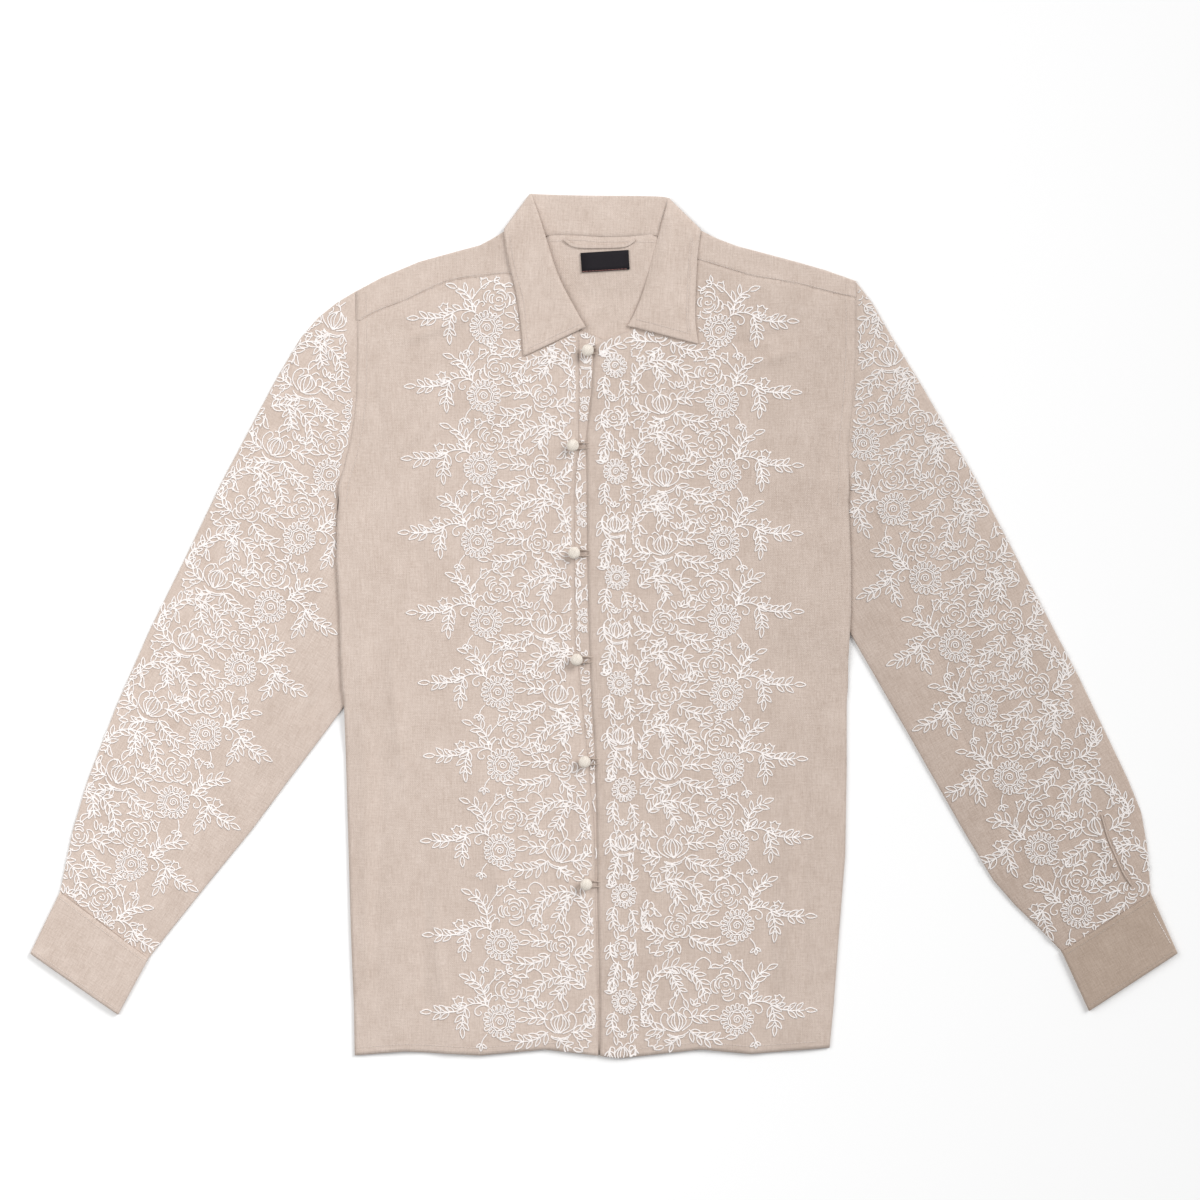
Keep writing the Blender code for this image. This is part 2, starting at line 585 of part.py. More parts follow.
def yoke_column(row, seam_y):
    """One section over the shoulder, from the back seam, round the fold, to the front seam."""
    half = WALL / 2
    radius = LAYER / 2
    turn_y = row["y"] - half - radius
    pairs = []
    for t in (0.0, 0.5, 0.62, 0.74, 1.0):
        place = (lerp(row["seam"], row["x"], t), lerp(BACK_YOKE_SEAM, turn_y, t))
        pairs.append(turned((*place, half + lift(*place)), (0, 0, -1), half))
    for angle in (-45, 0, 45):
        way = (0.0, math.cos(math.radians(angle)), math.sin(math.radians(angle)))
        height = half + radius + lift(row["x"], turn_y)
        pairs.append(turned((row["x"], turn_y + way[1] * radius, height + way[2] * radius), way, half))
    for t in (0.0, 0.5, 1.0):
        place = (lerp(row["x"], row["seam"], t), lerp(turn_y, seam_y, t))
        pairs.append(turned((*place, half + LAYER + lift(*place)), (0, 0, 1), half))
    return pairs


def make_yoke(material):
    """One folded piece: the back yoke and the two shoulder pieces that meet the fronts."""
    pairs = []
    quads = []
    deep = 11
    right_columns = len(SHOULDER_RIGHT)
    for row in SHOULDER_RIGHT:
        pairs += yoke_column(row, read(TOP_RIGHT, "x", "y", row["seam"]))
    neck_start = len(pairs)
    for row in BACK_NECK:
        for t in (0.0, 0.5, 0.62, 0.74, 1.0):
            place = (row["x"], lerp(BACK_YOKE_SEAM, row["y"], t))
            pairs.append(turned((*place, WALL / 2 + lift(*place)), (0, 0, -1), WALL / 2))
    left_start = len(pairs)
    for row in SHOULDER_LEFT:
        pairs += yoke_column(row, read(TOP_LEFT, "x", "y", row["seam"]))

    def join(first, second, steps):
        for step in range(steps):
            quads.append([first + step, first + step + 1, second + step + 1, second + step])

    for column in range(right_columns - 1):
        join(column * deep, (column + 1) * deep, deep - 1)
    join((right_columns - 1) * deep, neck_start, 4)
    for column in range(len(BACK_NECK) - 1):
        join(neck_start + column * 5, neck_start + (column + 1) * 5, 4)
    join(neck_start + (len(BACK_NECK) - 1) * 5, left_start, 4)
    for column in range(len(SHOULDER_LEFT) - 1):
        join(left_start + column * deep, left_start + (column + 1) * deep, deep - 1)
    return new_sheet("yoke", material, pairs, quads)


def unit(vector):
    size = math.sqrt(sum(part * part for part in vector))
    return tuple(part / size for part in vector)


def add(a, b, scale=1.0):
    return tuple(p + q * scale for p, q in zip(a, b))


def collar_section(row):
    """Pairs of places from the neck seam, up the stand, round the roll and out along the leaf."""
    half = COLLAR_WALL / 2
    seam = row["seam"]
    roll = row["roll"]
    edge = row["edge"]
    turn = math.radians(row["turn"])
    to_seam = unit((roll[0] - seam[0], roll[1] - seam[1], 0.0))
    to_edge = unit((roll[0] - edge[0], roll[1] - edge[1], 0.0))
    crown = unit(add(to_seam, to_edge))
    side = 1.0 if roll[0] < 0.0 else -1.0
    inward = (side * crown[1], -side * crown[0], 0.0)
    outward = (-inward[0], -inward[1], 0.0)
    stand_way = unit(add((0.0, 0.0, math.cos(turn)), inward, math.sin(turn)))
    leaf_way = unit(add((0.0, 0.0, -math.cos(turn)), outward, math.sin(turn)))
    radius = row["radius"]
    centre = add((roll[0], roll[1], row["mid"]), crown, -(half + radius))
    stand_top = add(centre, stand_way, radius)
    leaf_top = add(centre, leaf_way, radius)
    pairs = []
    for t in (0.0, 0.5, 1.0):
        mid = tuple(lerp(a, b, t) for a, b in zip(seam, stand_top))
        pairs.append(turned(mid, stand_way, half))
    for way in (unit(add(stand_way, crown)), crown, unit(add(crown, leaf_way))):
        pairs.append(turned(add(centre, way, radius), way, half))
    for t in (0.0, 0.2, 0.45, 0.72, 1.0):
        x = lerp(leaf_top[0], edge[0], t)
        y = lerp(leaf_top[1], edge[1], t)
        ground = leaf_ground(x, y, row["turn"])
        z = max(ground, lerp(leaf_top[2], leaf_ground(edge[0], edge[1], row["turn"]), t))
        if row["turn"] == 0:
            z = half
        pairs.append(turned((x, y, z), leaf_way, half))
    return pairs


def leaf_ground(x, y, turn):
    """Lowest middle of a collar leaf where it lies over a front or, turned down, behind the back."""
    over = LEAF_RISE + front_lift(x, y)
    behind = COLLAR_WALL / 2
    return lerp(behind, over, (1.0 - math.cos(math.radians(turn))) / 2.0)


def make_collar(material):
    sections = [collar_section(row) for row in COLLAR]
    pairs = [pair for section in sections for pair in section]
    return new_sheet("collar", material, pairs, grid_quads(len(sections[0]), len(sections)))


def tube(name, material, rows, across, wall, puff, place):
    """Open flattened tube: place(s, v) gives the plan, and puff raises its upper layer."""
    half = wall / 2
    radius = (wall + AIR) / 2
    outer = []
    inner = []
    for row in range(rows + 1):
        s = row / rows
        first = place(s, 0.0)
        last = place(s, 1.0)
        width = math.dist(first, last)
        way = unit((last[0] - first[0], last[1] - first[1], 0.0))
        inset = half + radius
        ring = []
        for column in range(across + 1):
            v = lerp(inset / width, 1.0 - inset / width, column / across)
            x, y = place(s, v)
            z = half + 2 * radius + puff(x, y, min(v, 1.0 - v) * width - inset, s)
            ring.append(turned((x, y, z), (0, 0, 1), half))
        end = place(s, 1.0 - inset / width)
        for angle in (45, 0, -45):
            out = (way[0] * math.cos(math.radians(angle)), way[1] * math.cos(math.radians(angle)),
                   math.sin(math.radians(angle)))
            ring.append(turned(add((*end, half + radius), out, radius), out, half))
        for column in range(6, -1, -1):
            v = lerp(inset / width, 1.0 - inset / width, column / 6)
            x, y = place(s, v)
            ring.append(turned((x, y, half), (0, 0, -1), half))
        start = place(s, inset / width)
        for angle in (-45, 0, 45):
            out = (-way[0] * math.cos(math.radians(angle)), -way[1] * math.cos(math.radians(angle)),
                   math.sin(math.radians(angle)))
            ring.append(turned(add((*start, half + radius), out, radius), out, half))
        outer += [pair[0] for pair in ring]
        inner += [pair[1] for pair in ring]
        size = len(ring)
    quads = []
    for row in range(rows):
        for column in range(size):
            following = (column + 1) % size
            quads.append([row * size + column, row * size + following,
                          (row + 1) * size + following, (row + 1) * size + column])
    return new_sheet(name, material, list(zip(outer, inner)), quads)


def sleeve_place(outer, inner, armhole):
    """Plan of a sleeve: straight sections, easing into the curve of the armhole."""

    def place(s, v):
        a = along(outer, s)
        b = along(inner, s)
        x = lerp(a[0], b[0], v)
        y = lerp(a[1], b[1], v)
        ease = max(0.0, 1.0 - s / 0.4) ** 2
        curve = along(armhole, v)
        flat = (lerp(outer[0][0], inner[0][0], v), lerp(outer[0][1], inner[0][1], v))
        return x + ease * (curve[0] - flat[0]), y + ease * (curve[1] - flat[1])

    return place


def make_sleeve(name, material, outer, inner, armhole):
    length = sum(math.dist(a, b) for a, b in zip(outer, outer[1:]))

    def puff(x, y, from_edge, s):
        return sleeve_puff(x, y, from_edge, min(s, 1.0 - s) * length)

    return tube(name, material, 20, 11, WALL, puff, sleeve_place(outer, inner, armhole))


def make_cuff(name, material, sides):
    def place(s, v):
        a = along(sides["outer"], s)
        b = along(sides["inner"], s)
        return lerp(a[0], b[0], v), lerp(a[1], b[1], v)

    def puff(x, y, from_edge, s):
        return 0.6 * smooth(from_edge / 14.0)

    return tube(name, material, 3, 8, CUFF_WALL, puff, place)


def make_hanger(material):
    """Narrow folded band sewn in under the neck seam, lying on the inside of the yoke."""
    pairs = []
    steps = 14
    for step in range(steps + 1):
        x, y = along(HANGER, step / steps)
        before = along(HANGER, max(0.0, step / steps - 0.02))
        after = along(HANGER, min(1.0, step / steps + 0.02))
        way = unit((after[0] - before[0], after[1] - before[1]))
        bottom = WALL + lift(x, y) + GAP
        for side in (-0.5, 0.5):
            px = x - way[1] * side * HANGER_WIDTH
            py = y + way[0] * side * HANGER_WIDTH
            pairs.append(((px, py, bottom + HANGER_THICK), (px, py, bottom)))
    return new_sheet("hanger_loop", material, pairs, grid_quads(2, steps + 1))


def make_label(material):
    """Woven label, sewn to the inside of the back yoke below the neck seam."""
    turn = math.radians(LABEL["turn"])
    pairs = []
    for row in range(5):
        for column in range(7):
            u = (column / 6 - 0.5) * LABEL["width"]
            v = (row / 4 - 0.5) * LABEL["height"]
            x = LABEL["centre"][0] + u * math.cos(turn) - v * math.sin(turn)
            y = LABEL["centre"][1] + u * math.sin(turn) + v * math.cos(turn)
            bottom = WALL + lift(x, y) + GAP
            pairs.append(((x, y, bottom + LABEL["thick"]), (x, y, bottom)))
    return new_sheet("neck_label", material, pairs, grid_quads(7, 5))


def make_button(number, row, material):
    """Ball-shaped button covered in cloth, on a short shank."""
    sides = 16
    verts = []
    faces = []
    tilt = math.radians(row["lean"])
    for level, ring in enumerate(BUTTON_PROFILE):
        rise = ring["rise"] if level else row["foot"] - BUTTON_FOOT
        for side in range(sides):
            angle = math.tau * side / sides
            lean = math.sin(tilt) * max(0.0, rise - 2.2)
            x = row["x"] + ring["radius"] * math.cos(angle) + lean
            y = row["y"] + ring["radius"] * math.sin(angle)
            verts.append((x, y, BUTTON_FOOT + rise))
    for level in range(len(BUTTON_PROFILE) - 1):
        for side in range(sides):
            following = (side + 1) % sides
            faces.append([level * sides + side, level * sides + following,
                          (level + 1) * sides + following, (level + 1) * sides + side])
    crown = len(verts)
    lean = math.sin(tilt) * (BUTTON_CROWN - 2.2)
    verts.append((row["x"] + lean, row["y"], BUTTON_FOOT + BUTTON_CROWN))
    last = (len(BUTTON_PROFILE) - 1) * sides
    for side in range(sides):
        faces.append([last + side, last + (side + 1) % sides, crown])
    faces.append(list(range(sides - 1, -1, -1)))
    return new_object(f"button_{number}", material, verts, faces)


def loop_path(row):
    """Cord out from the overlapping edge, round the shank and back to the edge."""
    edge = read(CENTRE, "y", "left", row["y"])
    height = BUTTON_FOOT + 0.3 + CORD_RADIUS
    points = [(edge + 3.0, row["y"] + 2.2, height), (edge + 0.5, row["y"] + 2.4, height)]
    for angle in range(70, 291, 20):
        turn = math.radians(angle)
        points.append((row["x"] + LOOP_RADIUS * math.cos(turn), row["y"] + LOOP_RADIUS * math.sin(turn), height))
    points += [(edge + 0.5, row["y"] - 2.4, height), (edge + 3.0, row["y"] - 2.2, height)]
    return points


def make_button_loop(number, row, material):
    sides = 6
    path = loop_path(row)
    verts = []
    faces = []
    for index, point in enumerate(path):
        before = path[max(0, index - 1)]
        after = path[min(len(path) - 1, index + 1)]
        way = unit(add(after, before, -1.0))
        across = unit((-way[1], way[0], 0.0))
        for side in range(sides):
            angle = math.tau * side / sides
            offset = CORD_RADIUS * math.cos(angle)
            verts.append((point[0] + across[0] * offset, point[1] + across[1] * offset,
                          point[2] + CORD_RADIUS * math.sin(angle)))
    for ring in range(len(path) - 1):
        for side in range(sides):
            following = (side + 1) % sides
            faces.append([ring * sides + side, ring * sides + following,
                          (ring + 1) * sides + following, (ring + 1) * sides + side])
    faces.append(list(range(sides)))
    faces.append([(len(path) - 1) * sides + side for side in range(sides)])
    return new_object(f"button_loop_{number}", material, verts, faces)


def clear_scene():
    for obj in list(bpy.data.objects):
        bpy.data.objects.remove(obj, do_unlink=True)


clear_scene()
make_back(new_material("back_linen", LINEN, 0.85))
make_yoke(new_material("yoke_linen", LINEN, 0.85))
make_button_strip(new_material("strip_linen", LINEN, 0.85))
make_front_right(new_material("front_right_linen", LINEN, 0.85))
make_front_left(new_material("front_left_linen", LINEN, 0.85))
make_sleeve("sleeve_right", new_material("sleeve_right_linen", LINEN, 0.85),
            SLEEVE_RIGHT_OUTER, SLEEVE_RIGHT_INNER, ARMHOLE_RIGHT)
make_sleeve("sleeve_left", new_material("sleeve_left_linen", LINEN, 0.85),
            SLEEVE_LEFT_OUTER, SLEEVE_LEFT_INNER, ARMHOLE_LEFT)
make_cuff("cuff_right", new_material("cuff_right_linen", LINEN, 0.85), CUFF_RIGHT)
make_cuff("cuff_left", new_material("cuff_left_linen", LINEN, 0.85), CUFF_LEFT)
make_collar(new_material("collar_linen", LINEN, 0.85))
make_hanger(new_material("hanger_linen", LINEN, 0.85))
make_label(new_material("label_weave", LABEL_BLACK, 0.6))
button_cloth = new_material("button_cloth", COVERED, 0.8)
loop_cord = new_material("loop_cord", COVERED, 0.8)
for number, row in enumerate(BUTTONS, start=1):
    make_button(number, row, button_cloth)
    make_button_loop(number, row, loop_cord)
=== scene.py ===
"""Long-sleeved linen shirt with white cord embroidery, laid flat with its front up.

Sizes are in millimetres and become metres when a mesh is made. +X is the wearer's left
and +Y is towards the collar, as in the solids that this file dresses.
"""

import random
from math import atan, atan2, cos, dist, exp, hypot, pi, radians, sin, sqrt, tau

import bmesh
import bpy
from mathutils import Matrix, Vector, noise
from mathutils.bvhtree import BVHTree


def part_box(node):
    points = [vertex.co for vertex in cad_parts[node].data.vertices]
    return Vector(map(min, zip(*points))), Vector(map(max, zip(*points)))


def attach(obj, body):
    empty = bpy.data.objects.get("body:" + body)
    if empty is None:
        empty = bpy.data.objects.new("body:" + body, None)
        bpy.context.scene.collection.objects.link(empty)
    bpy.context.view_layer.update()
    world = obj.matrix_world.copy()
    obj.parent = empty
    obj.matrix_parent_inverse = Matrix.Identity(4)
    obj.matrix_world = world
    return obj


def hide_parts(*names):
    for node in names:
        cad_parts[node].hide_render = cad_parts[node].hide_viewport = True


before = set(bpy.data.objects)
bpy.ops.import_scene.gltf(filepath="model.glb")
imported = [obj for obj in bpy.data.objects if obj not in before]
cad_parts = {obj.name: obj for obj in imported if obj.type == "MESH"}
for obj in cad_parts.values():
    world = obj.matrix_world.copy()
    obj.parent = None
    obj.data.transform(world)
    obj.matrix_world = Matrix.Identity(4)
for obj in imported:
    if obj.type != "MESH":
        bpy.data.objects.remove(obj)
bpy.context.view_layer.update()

# Back: one wide panel of undyed linen, from the hem to the yoke seam. It lies on the
# surface under the whole shirt, plain, with a few pressed creases of its own.
MM = 0.001
WALL = 1.1
BACK_YOKE_SEAM = 254.7
HEM_DROP = 0.7
HEM_LOW = -401
LINEN_LIGHT = (0.65, 0.545, 0.48)
LINEN_DARK = (0.47, 0.372, 0.312)
YARN = 0.85
# Rows of y, and x at the wearer's right and left sides.
SIDES = [
    (-401, -231.6, 208.8), (-352.5, -232.5, 213.4), (-282.7, -235.3, 218.6), (-213, -237.2, 224.2),
    (-133.9, -239.5, 225.5), (-74.4, -241.3, 225.5), (-31.6, -243.7, 225.8), (13, -244.6, 228.2),
    (61.4, -247.4, 228.2), (98.6, -246.5, 226.6), (131.1, -243.7, 224.9), (150.7, -238.5, 224.7),
    (172.1, -233.4, 225.1), (210.2, -227.9, 229), (249.2, -227.2, 231.6), (283.7, -226.9, 231.4),
    (321.8, -228.6, 231.6),
]
HEM = [
    (-232, -399), (-185.1, -395.2), (-115.3, -399), (-54.9, -393.4), (14.9, -401.6), (89.3, -393.4),
    (135.8, -397.6), (210, -391.8),
]
# Rows of a crease's start, its end, its width and its rise, or its depth below zero.
BACK_CREASES = [
    (-150, -320, -120, 120, 9, 0.5), (90, -360, 60, -40, 7, 0.6), (-40, 200, 120, 150, 8, 0.4),
]
# Middle height and reach of the painted falloff: painted shade that darkens the linen downwards and pales it
# upwards.
PAINTED_FALLOFF_MIDDLE = 60
PAINTED_FALLOFF_REACH = 300


class Number:
    """A number inside a finish. Arithmetic on it adds Math nodes."""

    def __init__(self, finish, socket):
        self.finish = finish
        self.socket = socket

    def joined(self, operation, first, second=0):
        made = self.finish.node("ShaderNodeMath", {0: first, 1: second}, operation=operation)
        return Number(self.finish, made.outputs[0])

    def __add__(self, other):
        return self.joined("ADD", self, other)

    def __sub__(self, other):
        return self.joined("SUBTRACT", self, other)

    def __rsub__(self, other):
        return self.joined("SUBTRACT", other, self)

    def __mul__(self, other):
        return self.joined("MULTIPLY", self, other)

    def sine(self):
        return self.joined("SINE", self)

    __radd__ = __add__
    __rmul__ = __mul__


class Finish:
    """A material while it is being made."""

    def __init__(self, name, roughness, sheen=0):
        self.material = bpy.data.materials.new(name)
        self.material.use_nodes = True
        self.tree = self.material.node_tree
        self.shader = self.tree.nodes["Principled BSDF"]
        self.shader.inputs["Roughness"].default_value = roughness
        self.shader.inputs["Sheen Weight"].default_value = sheen

    def node(self, kind, inputs, **settings):
        made = self.tree.nodes.new(kind)
        for key, value in settings.items():
            setattr(made, key, value)
        for key, value in inputs.items():
            self.feed(made.inputs[key], value)
        return made

    def feed(self, socket, value):
        if isinstance(value, Number):
            value = value.socket
        if isinstance(value, bpy.types.NodeSocket):
            self.tree.links.new(value, socket)
        else:
            socket.default_value = value

    def mapped(self, vector, **inputs):
        return self.node("ShaderNodeMapping", {"Vector": vector, **inputs}).outputs[0]

    def places(self, turn=0):
        """Object coordinates in millimetres, turned to the cloth's grain."""
        source = self.node("ShaderNodeTexCoord", {}).outputs["Object"]
        return self.mapped(source, Rotation=(0, 0, turn), Scale=(1000, 1000, 1000))

    def split(self, vector):
        made = self.node("ShaderNodeSeparateXYZ", {0: vector})
        return [Number(self, socket) for socket in made.outputs]

    def speckle(self, vector, stretch, detail=2, shift=0):
        """Soft noise whose grains have these sizes in millimetres."""
        sized = self.mapped(vector, Scale=[1 / size for size in stretch], Location=(shift, shift, shift))
        inputs = {"Vector": sized, "Scale": 1, "Detail": detail, "Roughness": 0.55}
        return Number(self, self.node("ShaderNodeTexNoise", inputs).outputs["Fac"])

    def between(self, factor, first, second):
        made = self.node("ShaderNodeMix", {0: factor, 6: (*first, 1), 7: (*second, 1)}, data_type="RGBA")
        return made.outputs[2]

    def colour(self, value):
        self.feed(self.shader.inputs["Base Color"], value)

    def relief(self, height, depth):
        """Raise the surface by a height between 0 and 1 over this depth in millimetres."""
        bump = self.node("ShaderNodeBump", {"Height": height, "Strength": 1, "Distance": depth * MM})
        self.feed(self.shader.inputs["Normal"], bump.outputs["Normal"])


def linen(name, turn=0, painted_light_and_shade=(1, 1, 1), painted_falloff=0):
    """Plain-woven flax: slubby yarns both ways, a little darker between them, mottled all over.
    Each piece's tint scales it as painted light and shade, and a painted falloff darkens it downwards and
    pales it upwards."""
    finish = Finish(name, 0.92, 0.25)
    vector = finish.places(turn)
    across, up, _ = finish.split(vector)
    wander = finish.speckle(vector, (7, 7, 9), 1)
    warp = (across * (pi / YARN) + wander * 6).sine()
    weft = (up * (pi / YARN) + wander * 6).sine()
    weave = warp * weft * 0.5 + 0.5
    upright_slubs = finish.speckle(vector, (1.1, 15, 40), 2, 11)
    level_slubs = finish.speckle(vector, (13, 1, 40), 2, 37)
    mottle = finish.speckle(vector, (24, 34, 40), 3, 71)
    fuzz = finish.speckle(vector, (1.5, 1.5, 1.5), 2, 5)
    tone = upright_slubs * 1.05 + level_slubs * 0.75 + mottle * 0.75 + weave * 0.2 + fuzz
    # Painted shade: below the middle height the linen is darkened and above it paled, standing in for light
    # falling off towards the lower right.
    if painted_falloff:
        level = finish.split(finish.places())[1]
        tone = tone + (level - PAINTED_FALLOFF_MIDDLE) * (painted_falloff / PAINTED_FALLOFF_REACH)
    # Painted light and shade: both colours are scaled by the piece's tint, so each piece is a lit or shaded
    # copy of the same linen.
    light = [part * tint for part, tint in zip(LINEN_LIGHT, painted_light_and_shade)]
    dark = [part * tint for part, tint in zip(LINEN_DARK, painted_light_and_shade)]
    finish.colour(finish.between(tone - 1.32, dark, light))
    finish.relief(weave * 0.5 + upright_slubs * 0.6 + level_slubs * 0.6 + fuzz * 0.5, 0.3)
    return finish.material


def lerp(a, b, t):
    return a + (b - a) * t


def blend(a, b, t):
    """A place, or a row of a table, between two of them."""
    return tuple(lerp(p, q, t) for p, q in zip(a, b))


def smooth(t):
    t = max(0, min(1, t))
    return t * t * (3 - 2 * t)


def polar(out, angle):
    return out * cos(angle), out * sin(angle)


def read(rows, value, column=1):
    """One column of a table at a value of its first column, which rises from row to row."""
    if value <= rows[0][0]:
        return rows[0][column]
    for low, high in zip(rows, rows[1:]):
        if value <= high[0]:
            return lerp(low[column], high[column], (value - low[0]) / (high[0] - low[0]))
    return rows[-1][column]


def column_of(rows, column=1):
    return lambda value: read(rows, value, column)


def crease_height(x, y, rows):
    """Soft troughs and ridges, each along its own line and dying out at both ends."""
    total = 0
    for ax, ay, bx, by, width, rise in rows:
        dx = bx - ax
        dy = by - ay
        size = dx * dx + dy * dy
        t = ((x - ax) * dx + (y - ay) * dy) / size
        if 0 < t < 1:
            away = ((x - ax) * dy - (y - ay) * dx) / sqrt(size) + 2.5 * sin(5 * t + ax)
            ends = smooth(3 * min(t, 1 - t))
            total += rise * ends * exp(-((away / width) ** 2))
    return total


BESIDE = [(0, 0)] + [polar(reach, pi / 4 * turn) for reach in (0.6, 1.6) for turn in range(8)]
MERGED = 0.002
FAR_OFF = 100


def spot(x, y, z):
    return Vector((x * MM, y * MM, z * MM))


def merged_shape(node):
    """A node's own faces, joined along the edges that they share."""
    shape = bmesh.new()
    shape.from_mesh(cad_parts[node].data)
    bmesh.ops.remove_doubles(shape, verts=shape.verts, dist=MERGED * MM)
    return shape


def solid_tree(node):
    """A node's faces, to find how high its cloth lies."""
    shape = merged_shape(node)
    tree = BVHTree.FromBMesh(shape)
    shape.free()
    return tree


def met(tree, x, y, above=True):
    """Place and way out of the face that is first met from above, or from below."""
    side = 1 if above else -1
    return tree.ray_cast(spot(x, y, side * FAR_OFF), Vector((0, 0, -side)))[:2]


def height(tree, x, y, above=True):
    """Height in millimetres of the face first met from above, or from below, here or just beside."""
    for dx, dy in BESIDE:
        place = met(tree, x + dx, y + dy, above)[0]
        if place is not None:
            return place.z / MM
    return tree.find_nearest(spot(x, y, 6 if above else 0))[0].z / MM


def finished(piece, material, node):
    """The calls that every piece with a solid of its own shares."""
    piece.data.materials.clear()
    piece.data.materials.append(material)
    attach(piece, "root")
    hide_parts(node)
    return piece


def placed(name, data):
    """An object in the scene, made from its mesh, lamp or lens."""
    made = bpy.data.objects.new(name, data)
    bpy.context.scene.collection.objects.link(made)
    return made


def new_piece(name, shape):
    mesh = bpy.data.meshes.new(name)
    shape.to_mesh(mesh)
    shape.free()
    mesh.shade_smooth()
    return placed(name, mesh)


cloth_trees = {}
RIPPLE = 0.22
LONG_WAVE = 38
SHORT_WAVE = 15


def new_cloth(name, grids, wall=WALL, creases=(), settle=18, ring=False):
    """Cloth from grids of (columns, rows, place, soft): place gives a point of the outer face
    for shares across and up, and soft says where the cloth may settle and crease."""
    shape = bmesh.new()
    loose = []
    for columns, rows, place, soft in grids:
        made = bmesh.ops.create_grid(shape, x_segments=columns, y_segments=rows, size=0.5)["verts"]
        for vert in made:
            u = vert.co.x + 0.5
            v = vert.co.y + 0.5
            x, y, z = place(u, v)
            vert.co = spot(x, y, z)
            if soft(u, v):
                loose.append(vert)
    bmesh.ops.remove_doubles(shape, verts=shape.verts, dist=MERGED * MM)
    if ring:
        bmesh.ops.recalc_face_normals(shape, faces=shape.faces)
    loose = [vert for vert in loose if vert.is_valid and not vert.is_boundary]
    for _ in range(settle):
        bmesh.ops.smooth_vert(
            shape, verts=loose, factor=0.5, use_axis_x=False, use_axis_y=False, use_axis_z=True,
        )
    for vert in loose:
        x = vert.co.x / MM
        y = vert.co.y / MM
        wave = noise.noise(Vector((x / LONG_WAVE, y / LONG_WAVE, 1.5)))
        wave += 0.5 * noise.noise(Vector((x / SHORT_WAVE, y / SHORT_WAVE, 7)))
        vert.co.z += (crease_height(x, y, creases) + RIPPLE * wave) * MM
    shape.normal_update()
    cloth_trees[name] = BVHTree.FromBMesh(shape)
    piece = new_piece(name, shape)
    thick = piece.modifiers.new("wall", "SOLIDIFY")
    thick.thickness = wall * MM
    thick.offset = -1
    return piece


def all_soft(u, v):
    return True


def panel_place(left, right, foot, top, tree, fall=lambda u, v, y: 0):
    """Places on a panel: left and right give x at a height, foot and top give y at an x, and
    fall says how far an edge turns down."""

    def place(u, v):
        x = lerp(left(HEM_LOW), right(HEM_LOW), u)
        for _ in range(4):
            y = lerp(foot(x), top(x), v)
            x = lerp(left(y), right(y), u)
        return x, y, height(tree, x, y) - fall(u, v, y)

    return place


right_side = column_of(SIDES, 1)
left_side = column_of(SIDES, 2)
hem = column_of(HEM)
back_place = panel_place(
    right_side, left_side, lambda x: hem(x) + HEM_DROP, lambda x: BACK_YOKE_SEAM, solid_tree("back"),
)
back = new_cloth("back_panel", [(48, 70, back_place, all_soft)], creases=BACK_CREASES, settle=6)
# Painted shade: the back's linen is made a little darker than the fronts'.
finished(back, linen("back_linen_finish", painted_light_and_shade=(0.97, 0.97, 0.97)), "back")

# Yoke: one folded piece over the shoulders, which joins the back panel to both fronts and
# shows its inner face in the neck opening. It is the same linen, seamed with a fine topstitch.
BACK_ROWS = 26
FOLD_ROWS = 6
FRONT_ROWS = 18
TURNED_ROWS = BACK_ROWS + FOLD_ROWS
YOKE_ROWS = TURNED_ROWS + FRONT_ROWS
# Rows of the shoulder fold's x and y, and of the front seam's x below it.
SHOULDER_RIGHT = [
    (-230.9, 310.9, -230.7), (-207.4, 323.6, -207), (-172.1, 338.5, -185), (-140, 347.4, -165),
    (-115.3, 354, -146), (-103.2, 360.3, -125), (-92.3, 367, -104.2), (-84, 362.6, -82),
    (-65.5, 355, -61.8),
]
SHOULDER_LEFT = [
    (62, 355, 58.6), (82, 362.6, 73), (90.2, 367.4, 89.3), (104.2, 360.4, 112), (122.8, 353.4, 135.8),
    (150.7, 346, 158), (178.6, 338.5, 179.6), (204.6, 331.1, 213.6), (234.4, 320.6, 234.4),
]
BACK_NECK = [
    (-57.5, 357.6), (-50, 361.8), (-25, 361.8), (-3.7, 360), (22, 360.5), (44, 362.4), (53.5, 357.6),
]
TOP_RIGHT = [
    (-227, 282.7), (-207, 293), (-185, 301.4), (-146, 319), (-104.2, 325.5), (-61.8, 327.4),
    (-55.6, 311.5), (-48, 299), (-40.4, 289.1), (-30, 281.5), (-23.3, 278),
]
TOP_LEFT = [
    (-9.3, 260.8), (6.5, 268.4), (23, 274.6), (35, 281.2), (44, 291.5), (50, 302.5), (56.2, 331),
    (58.6, 342.6), (89.3, 338.5), (135.8, 324.9), (179.6, 317), (213.6, 308.4), (231.5, 304.6),
]
SOLID_WALL = 1.2
LAYER = 1.6
TURN = (SOLID_WALL + LAYER) / 2
YOKE_EDGE_FALL = 0.6
yoke_tree = solid_tree("yoke")


def table_row(rows, share):
    """A row between two rows of a table, at a share of the way down it."""
    at = share * (len(rows) - 1)
    low = min(int(at), len(rows) - 2)
    return blend(rows[low], rows[low + 1], at - low)


